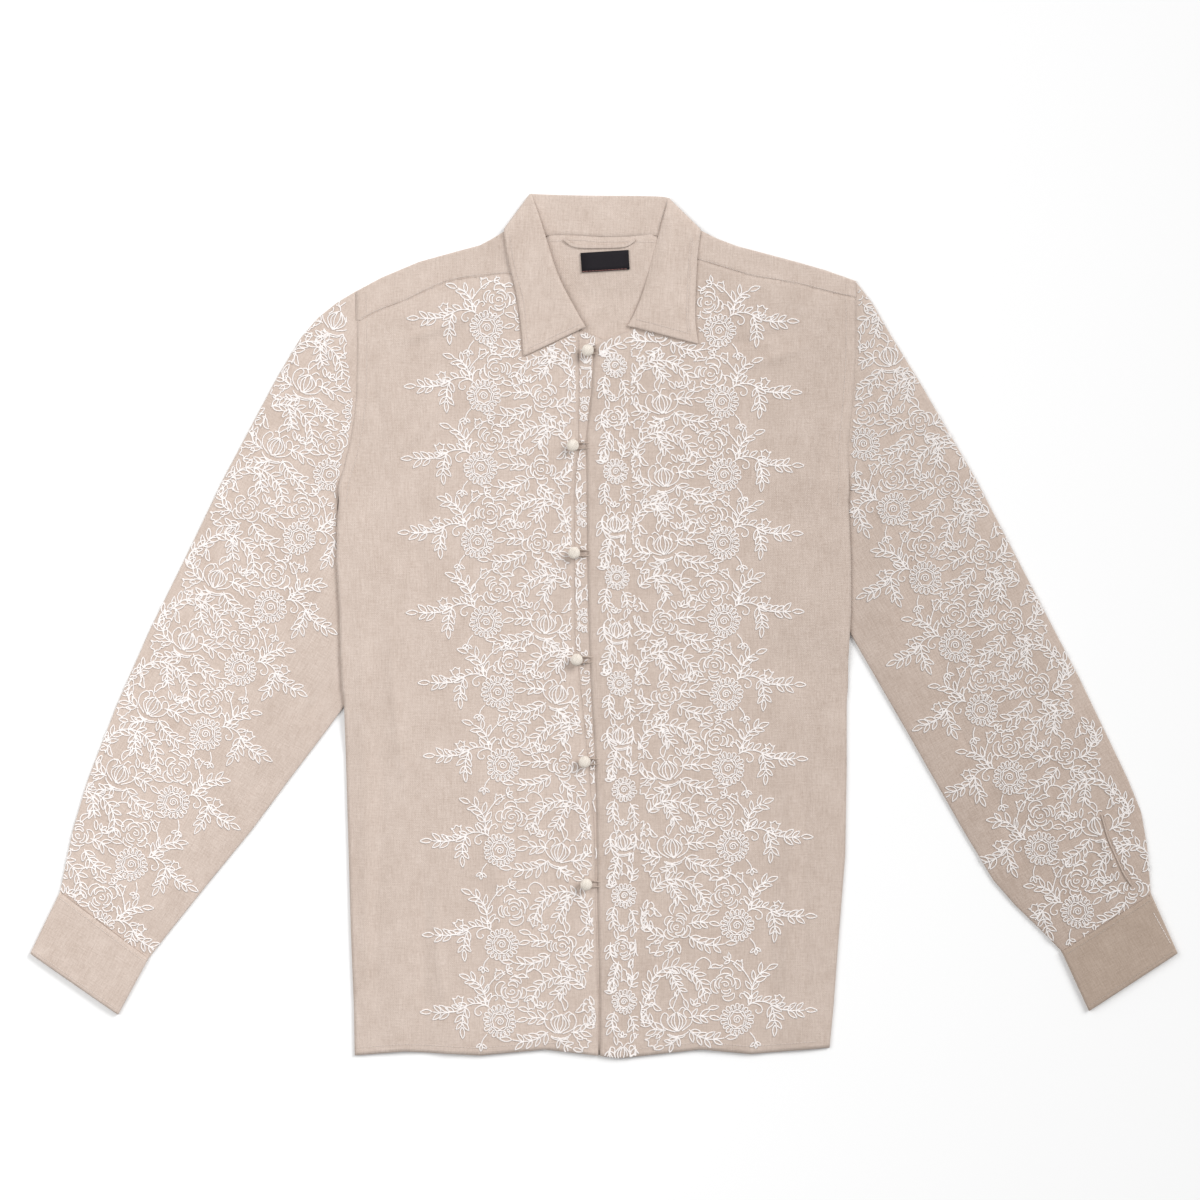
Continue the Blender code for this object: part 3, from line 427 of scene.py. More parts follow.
def shoulder_place(rows, top):
    """Places round a shoulder: up the back yoke, over the fold and down to the front seam."""

    def place(u, v):
        fold_x, fold_y, seam = table_row(rows, 1 - u)
        fold_y -= TURN
        step = v * YOKE_ROWS
        if step <= BACK_ROWS:
            t = step / BACK_ROWS
            x = lerp(seam, fold_x, t)
            y = lerp(BACK_YOKE_SEAM + 0.6, fold_y, t)
            return x, y, height(yoke_tree, x, y, False)
        if step >= TURNED_ROWS:
            t = (step - TURNED_ROWS) / FRONT_ROWS
            x = lerp(fold_x, seam, t)
            y = lerp(fold_y, read(top, seam), t)
            return x, y, height(yoke_tree, x, y) - (YOKE_EDGE_FALL if v == 1 else 0)
        angle = pi * ((step - BACK_ROWS) / FOLD_ROWS - 0.5)
        low = height(yoke_tree, fold_x, fold_y, False)
        middle = (low + height(yoke_tree, fold_x, fold_y)) / 2
        return fold_x, fold_y + TURN * cos(angle), middle + (middle - low) * sin(angle)

    return place


def shoulder_foot(x, y, seam):
    return seam, x, y - TURN


NECK_TURNING = 1.6
NECK_ROWS = [
    shoulder_foot(*SHOULDER_RIGHT[-1]), *((x, x, y) for x, y in BACK_NECK), shoulder_foot(*SHOULDER_LEFT[0]),
]


def neck_place(u, v):
    foot, top_x, top_y = table_row(NECK_ROWS, 1 - u)
    x = lerp(foot, top_x, v)
    y = lerp(BACK_YOKE_SEAM + 0.6, top_y + NECK_TURNING, v)
    return x, y, height(yoke_tree, x, y, False)


def on_top(u, v):
    return v * YOKE_ROWS > TURNED_ROWS + 1


def nowhere(u, v):
    return False


yoke = new_cloth(
    "yoke_over_the_shoulders",
    [
        (40, YOKE_ROWS, shoulder_place(SHOULDER_RIGHT, TOP_RIGHT), on_top),
        (32, BACK_ROWS, neck_place, nowhere),
        (40, YOKE_ROWS, shoulder_place(SHOULDER_LEFT, TOP_LEFT), on_top),
    ],
    settle=4,
)
# Painted light: the yoke's linen is made a little paler than the fronts'.
finished(yoke, linen("yoke_linen_finish", painted_light_and_shade=(1.02, 1.02, 1.02)), "yoke")

# Button strip: a straight strip of the linen behind the wearer's right front, which carries
# the buttons and shows as a sliver between the two fronts.
STRIP_TOP = [(-36, 276.5), (-23, 275.6), (-6, 268.8), (5, 262), (18, 255)]
STRIP_RIGHT = -36
STRIP_LEFT = 18
STRIP_FOOT = -394
strip_place = panel_place(
    lambda y: STRIP_RIGHT, lambda y: STRIP_LEFT, lambda x: STRIP_FOOT, column_of(STRIP_TOP),
    solid_tree("button_strip"),
)
strip = new_cloth("button_strip_cloth", [(12, 60, strip_place, all_soft)], settle=0)
# Painted shade: the strip's linen is made a little darker, for the shade between the fronts.
finished(strip, linen("strip_linen_finish", painted_light_and_shade=(0.97, 0.97, 0.97)), "button_strip")

# Fronts: two linen panels. The wearer's left front, on the right of the picture, lies over
# the button strip, and both are sewn to the yoke, the sleeves and, down the sides, the back.
# Rows of y, and x of the front edge on the wearer's right and left.
CENTRE = [
    (-401, -5.2, -3.6), (-347.8, -5.2, -3.7), (-254.8, -7.8, -5.9), (-189.7, -8.8, -6.5),
    (-124.6, -14.9, -7.9), (-68.8, -20.5, -11.2), (-13, -27, -13.7), (70.7, -27.4, -15.3),
    (135.8, -27, -15.8), (173, -23.6, -16.7), (219.5, -23.3, -11.2), (262, -23.3, -9), (280, -23.3, -9),
]
SEAM = 0.3
YOKE_LAP = 1.1
ARMHOLE_LAP = 2.7
ARMHOLE_FOOT = 114
UNDERARM_LAP = 1.2
UNDERARM = -74
TURNED_DOWN = 0.55
CENTRE_TURNED = 1
WELT_FALL = 0.3
RIM = 0.001
FRONT_RIGHT_CREASES = [
    (-206, -40, -212, -392, 5, -1.3), (-222, 90, -222, -398, 7, 1.4), (-198, 30, -186, -180, 4.5, 1.35),
    (-168, -210, -164, -396, 4, -1.34), (-154, -230, -150, -380, 4, 1.35), (-176, 86, -164, 10, 4, -1.12),
    (-204, 262, -82, 302, 4, 1.68), (-214, 238, -206, 118, 4, -1.12), (-140, 220, -196, 156, 5, 1.17),
    (-120, -110, -92, -300, 6, 1.35), (-60, -40, -52, -240, 5, -0.78), (-36, 240, -36, -20, 1.6, 1.17),
]
FRONT_LEFT_CREASES = [
    (190, 282, 100, 250, 4, -1.34), (194, 262, 112, 238, 4, 1.4), (208, 210, 192, 84, 4.5, 1.26),
    (184, -70, 190, -392, 4.5, -1.12), (170, -120, 172, -380, 5, 1.26), (152, -180, 158, -396, 4, -1.12),
    (96, -60, 84, -370, 6, 1.12), (64, 140, 58, -40, 5, 0.84), (24, 262, 22, -398, 1.8, -0.67),
]
centre_right = column_of(CENTRE, 1)
centre_left = column_of(CENTRE, 2)


def armhole_lap(y):
    """How far a front reaches over the sleeve that it is sewn to."""
    lap = lerp(UNDERARM_LAP, ARMHOLE_LAP, smooth((y - ARMHOLE_FOOT) / 14))
    return lap * smooth((y - UNDERARM) / 20)


def top_of(rows, seam_from, seam_to):
    """Top edge of a front, which reaches under the yoke along its seam."""
    return lambda x: read(rows, x) + (YOKE_LAP if seam_from < x < seam_to else -SEAM)


def front_fall(side):
    """Edges of a front: turned down all round but at the armhole, where it laps the sleeve."""

    def fall(u, v, y):
        if v > 1 - RIM:
            return TURNED_DOWN
        if abs(u - side) < RIM and y > ARMHOLE_FOOT:
            return WELT_FALL
        if abs(u - 1 + side) < RIM:
            return CENTRE_TURNED
        if v < RIM or abs(u - side) < RIM:
            return TURNED_DOWN
        return 0

    return fall


front_right_place = panel_place(
    lambda y: right_side(y) - armhole_lap(y), centre_right, hem, top_of(TOP_RIGHT, -300, -62.5),
    solid_tree("front_right"), front_fall(0),
)
grid = (68, 200, front_right_place, all_soft)
front_right = new_cloth("front_right_panel", [grid], creases=FRONT_RIGHT_CREASES)
finished(front_right, linen("front_right_finish"), "front_right")
front_left_place = panel_place(
    centre_left, lambda y: left_side(y) + armhole_lap(y), hem, top_of(TOP_LEFT, 59.5, 300),
    solid_tree("front_left"), front_fall(1),
)
grid = (72, 200, front_left_place, all_soft)
front_left = new_cloth("front_left_panel", [grid], creases=FRONT_LEFT_CREASES)
# Painted shade: the wearer's left front is made a little darker than the right, for light falling off across
# the shirt.
finished(front_left, linen("front_left_finish", painted_light_and_shade=(0.955, 0.95, 0.945)), "front_left")

# Sleeves: each a linen tube pressed flat, folded along the top and under the arm, sewn into
# its armhole and running down to the cuff. The underarm lies tucked below the body.
SLEEVE_COLUMNS = (54, 4, 14)
SLEEVE_ROWS = 150
EASED = 0.4
SEAM_FALL = 0.45
RIM_INSIDE = 1
SLEEVE_TURN = 0.52
SLEEVE_RIGHT_OUTER = [
    (-230, 311.6), (-247.4, 301.3), (-266, 286.4), (-281.8, 267.8), (-304.1, 230.6), (-354.3, 135.8),
    (-387.8, 66), (-422.2, -3.7), (-452.9, -73.5), (-479.9, -143.2), (-493.8, -189.7), (-502.2, -230),
    (-505.4, -246.8), (-506.4, -249),
]
SLEEVE_RIGHT_INNER = [
    (-198, 34), (-203.7, -20), (-241.3, -74.4), (-257.6, -96.7), (-292.9, -143.2), (-327.4, -189.7),
    (-365.5, -236.2), (-402.7, -282.7), (-423, -308.6), (-424.2, -311),
]
ARMHOLE_RIGHT = [
    (-230, 311.6), (-228.4, 283.7), (-228.6, 249.2), (-229.5, 210.2), (-234.8, 172.1), (-240.2, 150.7),
    (-245.6, 131.1), (-247.8, 112), (-240, 90), (-225, 62), (-208, 42), (-198, 34),
]
SLEEVE_LEFT_OUTER = [
    (233, 320.9), (248.3, 301.3), (266, 270.6), (292, 228.8), (346, 135.8), (394.3, 42.8), (442.7, -50.2),
    (487.3, -143.2), (499.4, -173), (505, -205.5), (508.2, -248.6), (509.1, -251),
]
SLEEVE_LEFT_INNER = [
    (180, 52.1), (188, 5.6), (226.9, -3.7), (253.9, -50.2), (280.9, -96.7), (333.9, -189.7),
    (361.8, -236.2), (382.2, -259.5), (407.3, -283.7), (425, -302), (426, -304.3),
]
ARMHOLE_LEFT = [
    (233.2, 320.9), (233.2, 283.7), (233, 249.2), (230.6, 210.2), (227, 172.1), (226.4, 150.7),
    (226.6, 131.1), (225.2, 114), (214, 88), (198, 66), (180, 52.1),
]
SLEEVE_RIGHT_CREASES = [
    (-288, 212, -352, 84, 5, 1.34), (-264, 66, -304, -62, 4.5, 1.34), (-252, -30, -280, -96, 4, -1.57),
    (-332, 30, -402, -124, 5, -0.9), (-464, -120, -474, -220, 4, -1.34),
    (-446, -104, -456, -236, 4, 1.34), (-376, -150, -436, -280, 4, 1.34),
    (-300, -110, -368, -214, 4, -0.9), (-250, 250, -262, 150, 4, 1.08),
]
SLEEVE_LEFT_CREASES = [
    (284, 50, 274, 0, 4, -1.34), (262, 130, 258, 16, 4.5, 1.12), (316, -24, 342, -134, 4.5, -1.34),
    (334, 66, 382, -66, 5, 0.9), (398, -110, 440, -264, 4.5, 1.12), (352, -140, 400, -240, 4, -0.9),
    (248, 262, 262, 176, 4, 0.9), (456, -170, 478, -240, 3, 1.57),
]


def along(points, t):
    """Place at the fraction t of a broken line's length."""
    steps = [dist(a, b) for a, b in zip(points, points[1:])]
    left = t * sum(steps)
    for a, b, step in zip(points, points[1:], steps):
        if left <= step:
            return blend(a, b, left / step)
        left -= step
    return tuple(points[-1])


def sleeve_plan(outer, inner, armhole):
    """Plan of a sleeve: straight sections, easing into the curve of the armhole."""

    def plan(s, v):
        section = blend(along(outer, s), along(inner, s), v)
        chord = blend(outer[0], inner[0], v)
        ease = max(0, 1 - s / EASED) ** 2
        return tuple(a + ease * (b - c) for a, b, c in zip(section, along(armhole, v), chord))

    return plan


def tube_place(plan, tree, turn, top, fold, low):
    """Places round a flattened tube: over the top, round one fold, back below and round the other,
    with these numbers of columns."""
    ring = top + fold + low + fold
    rim = RIM_INSIDE / dist(plan(0, 0.5), plan(1, 0.5))

    def above(v, share):
        return height(tree, *plan(max(rim, min(1 - rim, v)), share))

    def place(u, v):
        step = u * ring
        first = plan(v, 0)
        last = plan(v, 1)
        width = dist(first, last)
        inset = turn / width
        if step <= top:
            share = lerp(inset, 1 - inset, step / top)
            return *plan(v, share), above(v, share) - (SEAM_FALL if v < RIM else 0)
        if top + fold <= step <= top + fold + low:
            x, y = plan(v, lerp(1 - inset, inset, (step - top - fold) / low))
            return x, y, 0
        if step < top + fold:
            share = 1 - inset
            angle = pi * (0.5 - (step - top) / fold)
        else:
            share = inset
            angle = pi * (-0.5 - (step - top - fold - low) / fold)
        x, y = plan(v, share)
        top_z = above(v, share)
        way = ((last[0] - first[0]) / width, (last[1] - first[1]) / width)
        out = turn * cos(angle)
        return x + way[0] * out, y + way[1] * out, top_z / 2 * (1 + sin(angle))

    return place


def new_tube(name, node, plan, turn, columns, rows, creases, wall=WALL, settle=18):
    """Closed ring of cloth: the first and last columns meet and are merged."""
    top, fold, low = columns
    ring = top + 2 * fold + low
    place = tube_place(plan, solid_tree(node), turn, *columns)
    return new_cloth(name, [(ring, rows, place, lambda u, v: u * ring < top)], wall, creases, settle, True)


sleeves = {}
for side, outer, inner, armhole, creases, look in (
    ("right", SLEEVE_RIGHT_OUTER, SLEEVE_RIGHT_INNER, ARMHOLE_RIGHT, SLEEVE_RIGHT_CREASES, (SLEEVE_TURN,)),
    # Painted shade: the wearer's left sleeve is darkened, and darkened further towards its cuff, for light
    # falling off to the lower right.
    ("left", SLEEVE_LEFT_OUTER, SLEEVE_LEFT_INNER, ARMHOLE_LEFT, SLEEVE_LEFT_CREASES,
     (-SLEEVE_TURN, (0.91, 0.9, 0.89), 0.32)),
):
    name = f"sleeve_{side}"
    plan = sleeve_plan(outer, inner, armhole)
    sleeves[side] = new_tube(f"{name}_tube", name, plan, TURN, SLEEVE_COLUMNS, SLEEVE_ROWS, creases)
    finished(sleeves[side], linen(f"{name}_finish", *look), name)

# Cuffs: a doubled band of linen, stiffened inside, closed round the end of each sleeve and
# pressed flat. A line of stitches runs near its edges.
CUFF_WALL = 1.9
# The outer and the inner end of each cuff, each from the sleeve to the hand.
CUFF_RIGHT = [[(-505.6, -247.1), (-533.3, -304.1)], [(-423.2, -308.9), (-451.4, -361.1)]]
CUFF_LEFT = [[(508.4, -248.9), (533.1, -303.8)], [(425.2, -302.3), (450.6, -357.6)]]
CUFF_TURN = 2.2
cuffs = {}


def cuff_plan(outer, inner):
    return lambda s, v: blend(along(outer, s), along(inner, s), v)


# Painted shade: the wearer's left cuff's linen is darkened well below the right one's, for light falloff and
# the shading of its folds.
for side, sides, turn, painted_light_and_shade in (
    ("right", CUFF_RIGHT, SLEEVE_TURN, (1, 1, 1)), ("left", CUFF_LEFT, -SLEEVE_TURN, (0.72, 0.68, 0.63)),
):
    name = f"cuff_{side}"
    cuff = new_tube(f"{name}_band", name, cuff_plan(*sides), CUFF_TURN, (34, 6, 16), 24, (), CUFF_WALL, 4)
    cuffs[side] = finished(cuff, linen(f"{name}_finish", turn, painted_light_and_shade), name)

# Collar: a doubled, stiffened strip that stands up from the neck seam and folds over into two
# pointed leaves. Here it lies pressed open, its roll soft on the wearer's left.
RIM_ANGLE = radians(50)


def smoothed_copy(name, node, levels, rim_angle=RIM_ANGLE, firm=0.85, pressed=None):
    """A node's merged copy with its triangles joined, rounded but for its outer rim, and
    pressed to a lower height where the cloth shows so."""
    shape = merged_shape(node)
    bmesh.ops.join_triangles(
        shape, faces=shape.faces, angle_face_threshold=radians(40), angle_shape_threshold=radians(60),
    )
    rim = shape.edges.layers.float.new("crease_edge")
    for edge in shape.edges:
        if len(edge.link_faces) == 2 and edge.calc_face_angle() > rim_angle:
            edge[rim] = firm
    if pressed:
        for vert in shape.verts:
            vert.co.z = pressed(*(vert.co / MM)) * MM
    piece = new_piece(name, shape)
    finer = piece.modifiers.new("finer", "SUBSURF")
    finer.levels = levels
    finer.render_levels = levels
    return piece


SOFT_ROLL = [(21.6, 279.4), (27, 288), (31.2, 298), (36.4, 310.5), (41.2, 329), (45.4, 345), (50.6, 364)]
SOFT_REACH = 10
SOFT_LEFT = 0.35
YOKE_TOP = 1.15


def near_line(x, y, points):
    """Distance from a place to a broken line."""
    best = 1e9
    for a, b in zip(points, points[1:]):
        dx = b[0] - a[0]
        dy = b[1] - a[1]
        t = max(0, min(1, ((x - a[0]) * dx + (y - a[1]) * dy) / (dx * dx + dy * dy)))
        best = min(best, hypot(x - a[0] - dx * t, y - a[1] - dy * t))
    return best


def soft_roll(x, y, z):
    """The roll on the wearer's left, which lies almost flat on the yoke."""
    keep = lerp(SOFT_LEFT, 1, smooth(near_line(x, y, SOFT_ROLL) / SOFT_REACH))
    return YOKE_TOP + (z - YOKE_TOP) * keep if z > YOKE_TOP else z


collar = smoothed_copy("collar_with_leaves", "collar", 2, pressed=soft_roll)
# Painted light: the collar's linen is made a little paler than the fronts', for the light from the upper
# left.
finished(collar, linen("collar_finish", 0.06, (1.04, 1.04, 1.04)), "collar")

# Hanger loop and neck label: a narrow folded band caught in the neck seam, and a blank black
# woven label sewn to the inside of the yoke below it.
hanger = smoothed_copy("hanger_band", "hanger_loop", 2)
finished(hanger, linen("hanger_finish"), "hanger_loop")


def woven_label(name):
    """Black satin weave with fine ribs."""
    finish = Finish(name, 0.8)
    finish.shader.inputs["Specular IOR Level"].default_value = 0.12
    vector = finish.places(-0.063)
    across, up, _ = finish.split(vector)
    ribs = (up * (pi / 0.35)).sine() * 0.5 + 0.5
    steps = (across * (pi / 0.5)).sine() * 0.5 + 0.5
    fleck = finish.speckle(vector, (0.8, 0.5, 1))
    finish.colour(finish.between(ribs * 0.5 + fleck * 0.4, (0.008, 0.007, 0.009), (0.032, 0.028, 0.033)))
    finish.relief(ribs * 0.7 + steps * 0.3, 0.12)
    return finish.material


label = smoothed_copy("blank_neck_label", "neck_label", 2, firm=1)
finished(label, woven_label("label_weave_finish"), "neck_label")

# Buttons and loops: six balls covered in the linen, each on a short shank sewn to the button
# strip, held by a loop of rolled cord that comes out of the edge of the wearer's left front.
BUTTON_LIGHT = (0.85, 0.79, 0.71)
BUTTON_DARK = (0.5, 0.43, 0.36)


def covered_button(name):
    finish = Finish(name, 0.85, 0.2)
    vector = finish.places(0.3)
    across, up, _ = finish.split(vector)
    weave = (across * (pi / 1.1)).sine() * (up * (pi / 1.1)).sine() * 0.5 + 0.5
    slubs = finish.speckle(vector, (1.2, 4, 3), 3)
    finish.colour(finish.between(weave * 0.4 + slubs * 1.2 - 0.15, BUTTON_DARK, BUTTON_LIGHT))
    finish.relief(weave * 0.6 + slubs * 0.4, 0.35)
    return finish.material


LOOP_HALF = 4
LOOP_TUCK = 2.4
ROUND = radians(80)
button_finish = covered_button("button_cloth_finish")
# Painted shade: the loop cord's linen is darkened.
cord_finish = linen("loop_cord_finish", 0.4, (0.86, 0.85, 0.83))
for number in range(1, 7):
    name = f"button_{number}"
    finished(smoothed_copy(f"covered_{name}", name, 1, ROUND), button_finish, name)
    name = f"button_loop_{number}"
    edge = centre_left(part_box(name)[0][1] / MM + LOOP_HALF)
    loop = smoothed_copy(
        f"cord_loop_{number}", name, 1, ROUND,
        pressed=lambda x, y, z: z - LOOP_TUCK * smooth((x - edge + 1.2) / 2),
    )
    finished(loop, cord_finish, name)

# Embroidery: white cord-like chain stitch in lines about a millimetre and a half wide, worked
# before the panels were joined. Tiers of a daisy, two roses, bells and leafy sprays repeat
# down each front and each sleeve, and a narrow column of the same flowers runs by the opening.
STITCH = 1.7
CORD_HALF = 0.72
CORD_FLAT = 0.72
THREAD_LIGHT = (0.96, 0.915, 0.895)
THREAD_DARK = (0.8, 0.735, 0.705)
MAIN_STEM = [(9.5, 13), (17, 16.5), (27, 16), (38, 10.5), (45, 8.6)]
TIP_SPRAY = [(42, 9), (53, 8.4), (63, 8.8)]
DOWN_SPRAY = [(31, 14.5), (34.5, 5), (35, -5)]
UP_SPRAY = [(13, 16), (14.5, 25), (20, 33), (27.5, 37)]
SPRIG_STEM = [(13.8, 26), (9, 33), (2, 40), (-6.5, 44)]
HOOK = [(11, 15), (17, 15), (22.5, 12), (23, 7.5), (19.5, 5.5), (17, 8), (19, 10)]
SMALL_HOOK = [(11, 16), (8.5, 22), (4, 24.5), (2, 21.5), (4.5, 19.8)]
DROP = [(12, -12), (16, -17), (17, -21)]
GARLAND_LOW = [(-45, -9.5), (-36, -15.5), (-24, -18.5), (-11, -17)]
GARLAND_SHORT = [(-45, 1.5), (-36, 3.5), (-26, 2.5)]
GARLAND_HIGH = [(-82, 17), (-79, 29), (-69, 37), (-56, 39), (-43, 35), (-33.5, 26.5), (-29.5, 17)]
HANGING_SPRAY = [(-63, 37), (-57.5, 28), (-49.5, 19)]
SIDE_SPRAY = [(-66, -10), (-76, -9), (-83, -1.5)]
RIM_SPRAY = [(-86, -6), (-89.5, 5), (-87, 15)]
FOOT_SPRAY = [(-54, -14.5), (-59, -21), (-68, -25)]
OPEN_BUD = [(-41, 33), (-38.5, 42), (-31, 46), (-24.5, 42), (-27, 37)]
COLUMN_STEMS = [
    [(5, 11.5), (8, 20), (7, 30)],
    [(-9, -9), (-11, -20), (-8.5, -31)],
    [(5, -12.5), (9, -20), (8.5, -29)],
    [(-12.5, -43), (-13, -52), (-9.5, -61)],
    [(10, -40), (11, -49), (8, -58)],
    [(-5, -61), (-8, -71), (-10.5, -80)],
]


def thread_finish(name, light, dark):
    """Matt cotton, a little darker where the twist turns down."""
    finish = Finish(name, 0.78, 0.35)
    vector = finish.places()
    strands = finish.speckle(vector, (0.55, 0.55, 0.55), 3)
    wear = finish.speckle(vector, (14, 14, 14), 2, 19)
    finish.colour(finish.between(strands * 1.1 + wear * 0.7 - 0.25, dark, light))
    finish.relief(strands, 0.25)
    return finish.material


def through(points, steps=8):
    """Smooth line through a few places."""
    line = []
    padded = [points[0], *points, points[-1]]
    for p, a, b, n in zip(padded, padded[1:], padded[2:], padded[3:]):
        for step in range(steps):
            t = step / steps
            line.append(tuple(
                0.5 * (2 * a[i] + (b[i] - p[i]) * t + (2 * p[i] - 5 * a[i] + 4 * b[i] - n[i]) * t * t
                       + (3 * a[i] - p[i] - 3 * b[i] + n[i]) * t ** 3)
                for i in (0, 1)
            ))
    return line + [tuple(points[-1])]


def seated(path, place, angle, size=1):
    """A motif's path turned, sized and set down at its place."""
    c = cos(angle) * size
    s = sin(angle) * size
    return [(place[0] + x * c - y * s, place[1] + x * s + y * c) for x, y in path]


LEAF_BEND = 0.08
LEAF = 10.6
LEAF_WIDTH = 0.37
LEAF_GAP = 6.9


def leaf(length, width):
    """Pointed loop from the stem to the tip and back, bent a little towards the tip."""
    side = [(length * t / 6, width / 2 * sin(pi * (t / 6) ** 0.85)) for t in range(7)]
    loop = side + [(x, -y) for x, y in reversed(side[:-1])]
    return [(x, y - LEAF_BEND * x * x / length) for x, y in loop]


def leafy(points, chance, lead=0, size=1, sides=(1, -1), tip=True):
    """A stem with leaf pairs along it, each leaf leaning towards the tip."""
    line = through(points)
    paths = [line]
    gap = LEAF_GAP * size
    walked = gap - lead
    for index, (a, b) in enumerate(zip(line, line[1:])):
        walked += dist(a, b)
        if walked < gap or index > len(line) - 5:
            continue
        walked = 0
        way = atan2(b[1] - a[1], b[0] - a[0])
        for side in sides:
            lean = side * (0.76 + 0.14 * chance.uniform(-1, 1))
            length = LEAF * size * chance.uniform(0.86, 1.1)
            root = (a[0] + 0.5 * cos(way + lean), a[1] + 0.5 * sin(way + lean))
            loop = [(x, y * side) for x, y in leaf(length, length * LEAF_WIDTH)]
            paths.append(seated(loop, root, way + lean))
    if tip:
        way = atan2(line[-1][1] - line[-3][1], line[-1][0] - line[-3][0])
        length = LEAF * size * 1.1
        paths.append(seated(leaf(length, length * LEAF_WIDTH), line[-1], way))
    return paths


def bell(length, width):
    """Flower seen from the side, with a scalloped mouth and a wavy wall."""
    side = [(0, 0), (0.22, 0.3), (0.38, 0.24), (0.56, 0.44), (0.72, 0.38), (0.98, 0.62)]
    mouth = [(0.84, 0.32), (1.1, 0.04), (0.84, -0.26)]
    outline = side + mouth + [(x, -y) for x, y in reversed(side)]
    return through([(x * length, y * width) for x, y in outline], 4)


def daisy(radius, petals, chance):
    """Ring of narrow looped petals round a wavy ring, with a coiled middle."""
    outline = []
    shapes = ((0.66, -0.15), (0.82, -0.33), (0.96, -0.28), (1, 0), (0.96, 0.28), (0.82, 0.33), (0.66, 0.15))
    for petal in range(petals):
        reach = chance.uniform(0.93, 1.06)
        for out, across in shapes:
            far = out if out < 0.7 else out * reach
            outline.append(polar(radius * far, tau * (petal + 0.5 + across * 1.15) / petals))
    turns = [tau * step / 48 for step in range(49)]
    rings = [
        [polar(radius * (middle + 0.035 * sin(waves * turn)), turn) for turn in turns]
        for middle, waves in ((0.57, 9), (0.45, 7))
    ]
    coil = [
        polar(radius * (0.27 - 0.011 * step) * (1 + 0.16 * sin(3.1 * step)), 0.55 * step)
        for step in range(22)
    ]
    return [[*outline, outline[0]], *rings, coil]


def arc(radius, start, sweep, squash):
    steps = max(6, int(abs(sweep) * 5))
    return [
        (radius * cos(start + sweep * i / steps), squash * radius * sin(start + sweep * i / steps))
        for i in range(steps + 1)
    ]


def crescent(inner, outer, start, sweep):
    """A petal's closed outline between two arcs, full in the middle and pointed at its ends."""
    steps = max(7, int(sweep * 6))
    shares = [step / steps for step in range(steps + 1)]
    rim = [polar(lerp(inner, outer, sin(pi * t) ** 0.6), start + sweep * t) for t in shares]
    return rim + [polar(inner * 0.97, start + sweep * step / steps) for step in range(steps, -1, -1)]


def rose(radius, chance):
    """Coiled bud inside overlapping petals set off the middle, with loose ones outside."""
    turn = chance.uniform(0, tau)
    coil = [polar(radius * (0.05 + 0.0165 * step), 0.52 * step + turn) for step in range(15)]
    paths = [[(x * 1.15, y * 0.85) for x, y in coil]]
    for start, sweep, inner, outer, off in (
        (0.2, 2.1, 0.4, 0.62, 0.07), (2.3, 1.8, 0.38, 0.6, 0.09), (4.2, 2.2, 0.42, 0.64, 0.05),
        (0.9, 1.6, 0.66, 0.98, 0.1), (2.7, 1.3, 0.68, 0.94, 0.16), (4.1, 1.2, 0.66, 1, 0.08),
        (5.4, 1.4, 0.64, 0.96, 0.14),
    ):
        middle = turn + start + sweep / 2
        petal = crescent(radius * inner, radius * outer * chance.uniform(0.95, 1.08), turn + start, sweep)
        paths.append([(x + radius * off * cos(middle), y + radius * off * sin(middle)) for x, y in petal])
    paths.append(arc(radius * 0.8, turn + 5.9, 1.3, 0.92))
    return paths


def full_rose(radius, chance):
    """Opening flower from the side: nested petals, two spread ones, and cups below."""
    paths = []
    for wide in (0.18, 0.42, 0.68):
        for side in (-1, 1):
            paths.append([
                (side * radius * wide * sin(pi * t / 9), radius * (1.45 * t / 9 - 0.75)) for t in range(10)
            ])
    for side in (-1, 1):
        paths.append(through([
            (side * radius * x, radius * y)
            for x, y in ((0.25, -0.75), (0.95, -0.35), (1.15, 0.25), (0.85, 0.75), (0.55, 0.55), (0.75, 0.1))
        ]))
        tip = ((0.1, 0.7), (0.35, 1), (0.7, 0.85))
        paths.append(through([(side * radius * x, radius * y) for x, y in tip]))
    for drop in (0.92, 1.18):
        paths.append(arc(radius * (1 - 0.38 * drop + 0.15), pi + 0.3, pi - 0.6, 0.55))
        paths[-1] = [(x, y - radius * drop * 0.72) for x, y in paths[-1]]
    return [seated(path, (0, 0), chance.uniform(-0.2, 0.2)) for path in paths]


def flame_leaf(length):
    """Long leaf with an S-shaped tip."""
    return through([(x * length, y * length) for x, y in (
        (0, 0), (0.18, 0.22), (0.45, 0.26), (0.72, 0.1), (1, 0.16), (0.74, -0.06), (0.42, -0.02), (0, 0),
    )])


def sprig(place, angle, size, chance):
    """Three small leaves fanned from one place."""
    return [
        seated(leaf(size * chance.uniform(0.9, 1.1), size * 0.4), place, angle + turn)
        for turn in (-0.95, 0, 0.95)
    ]


TIER_PITCH = 67


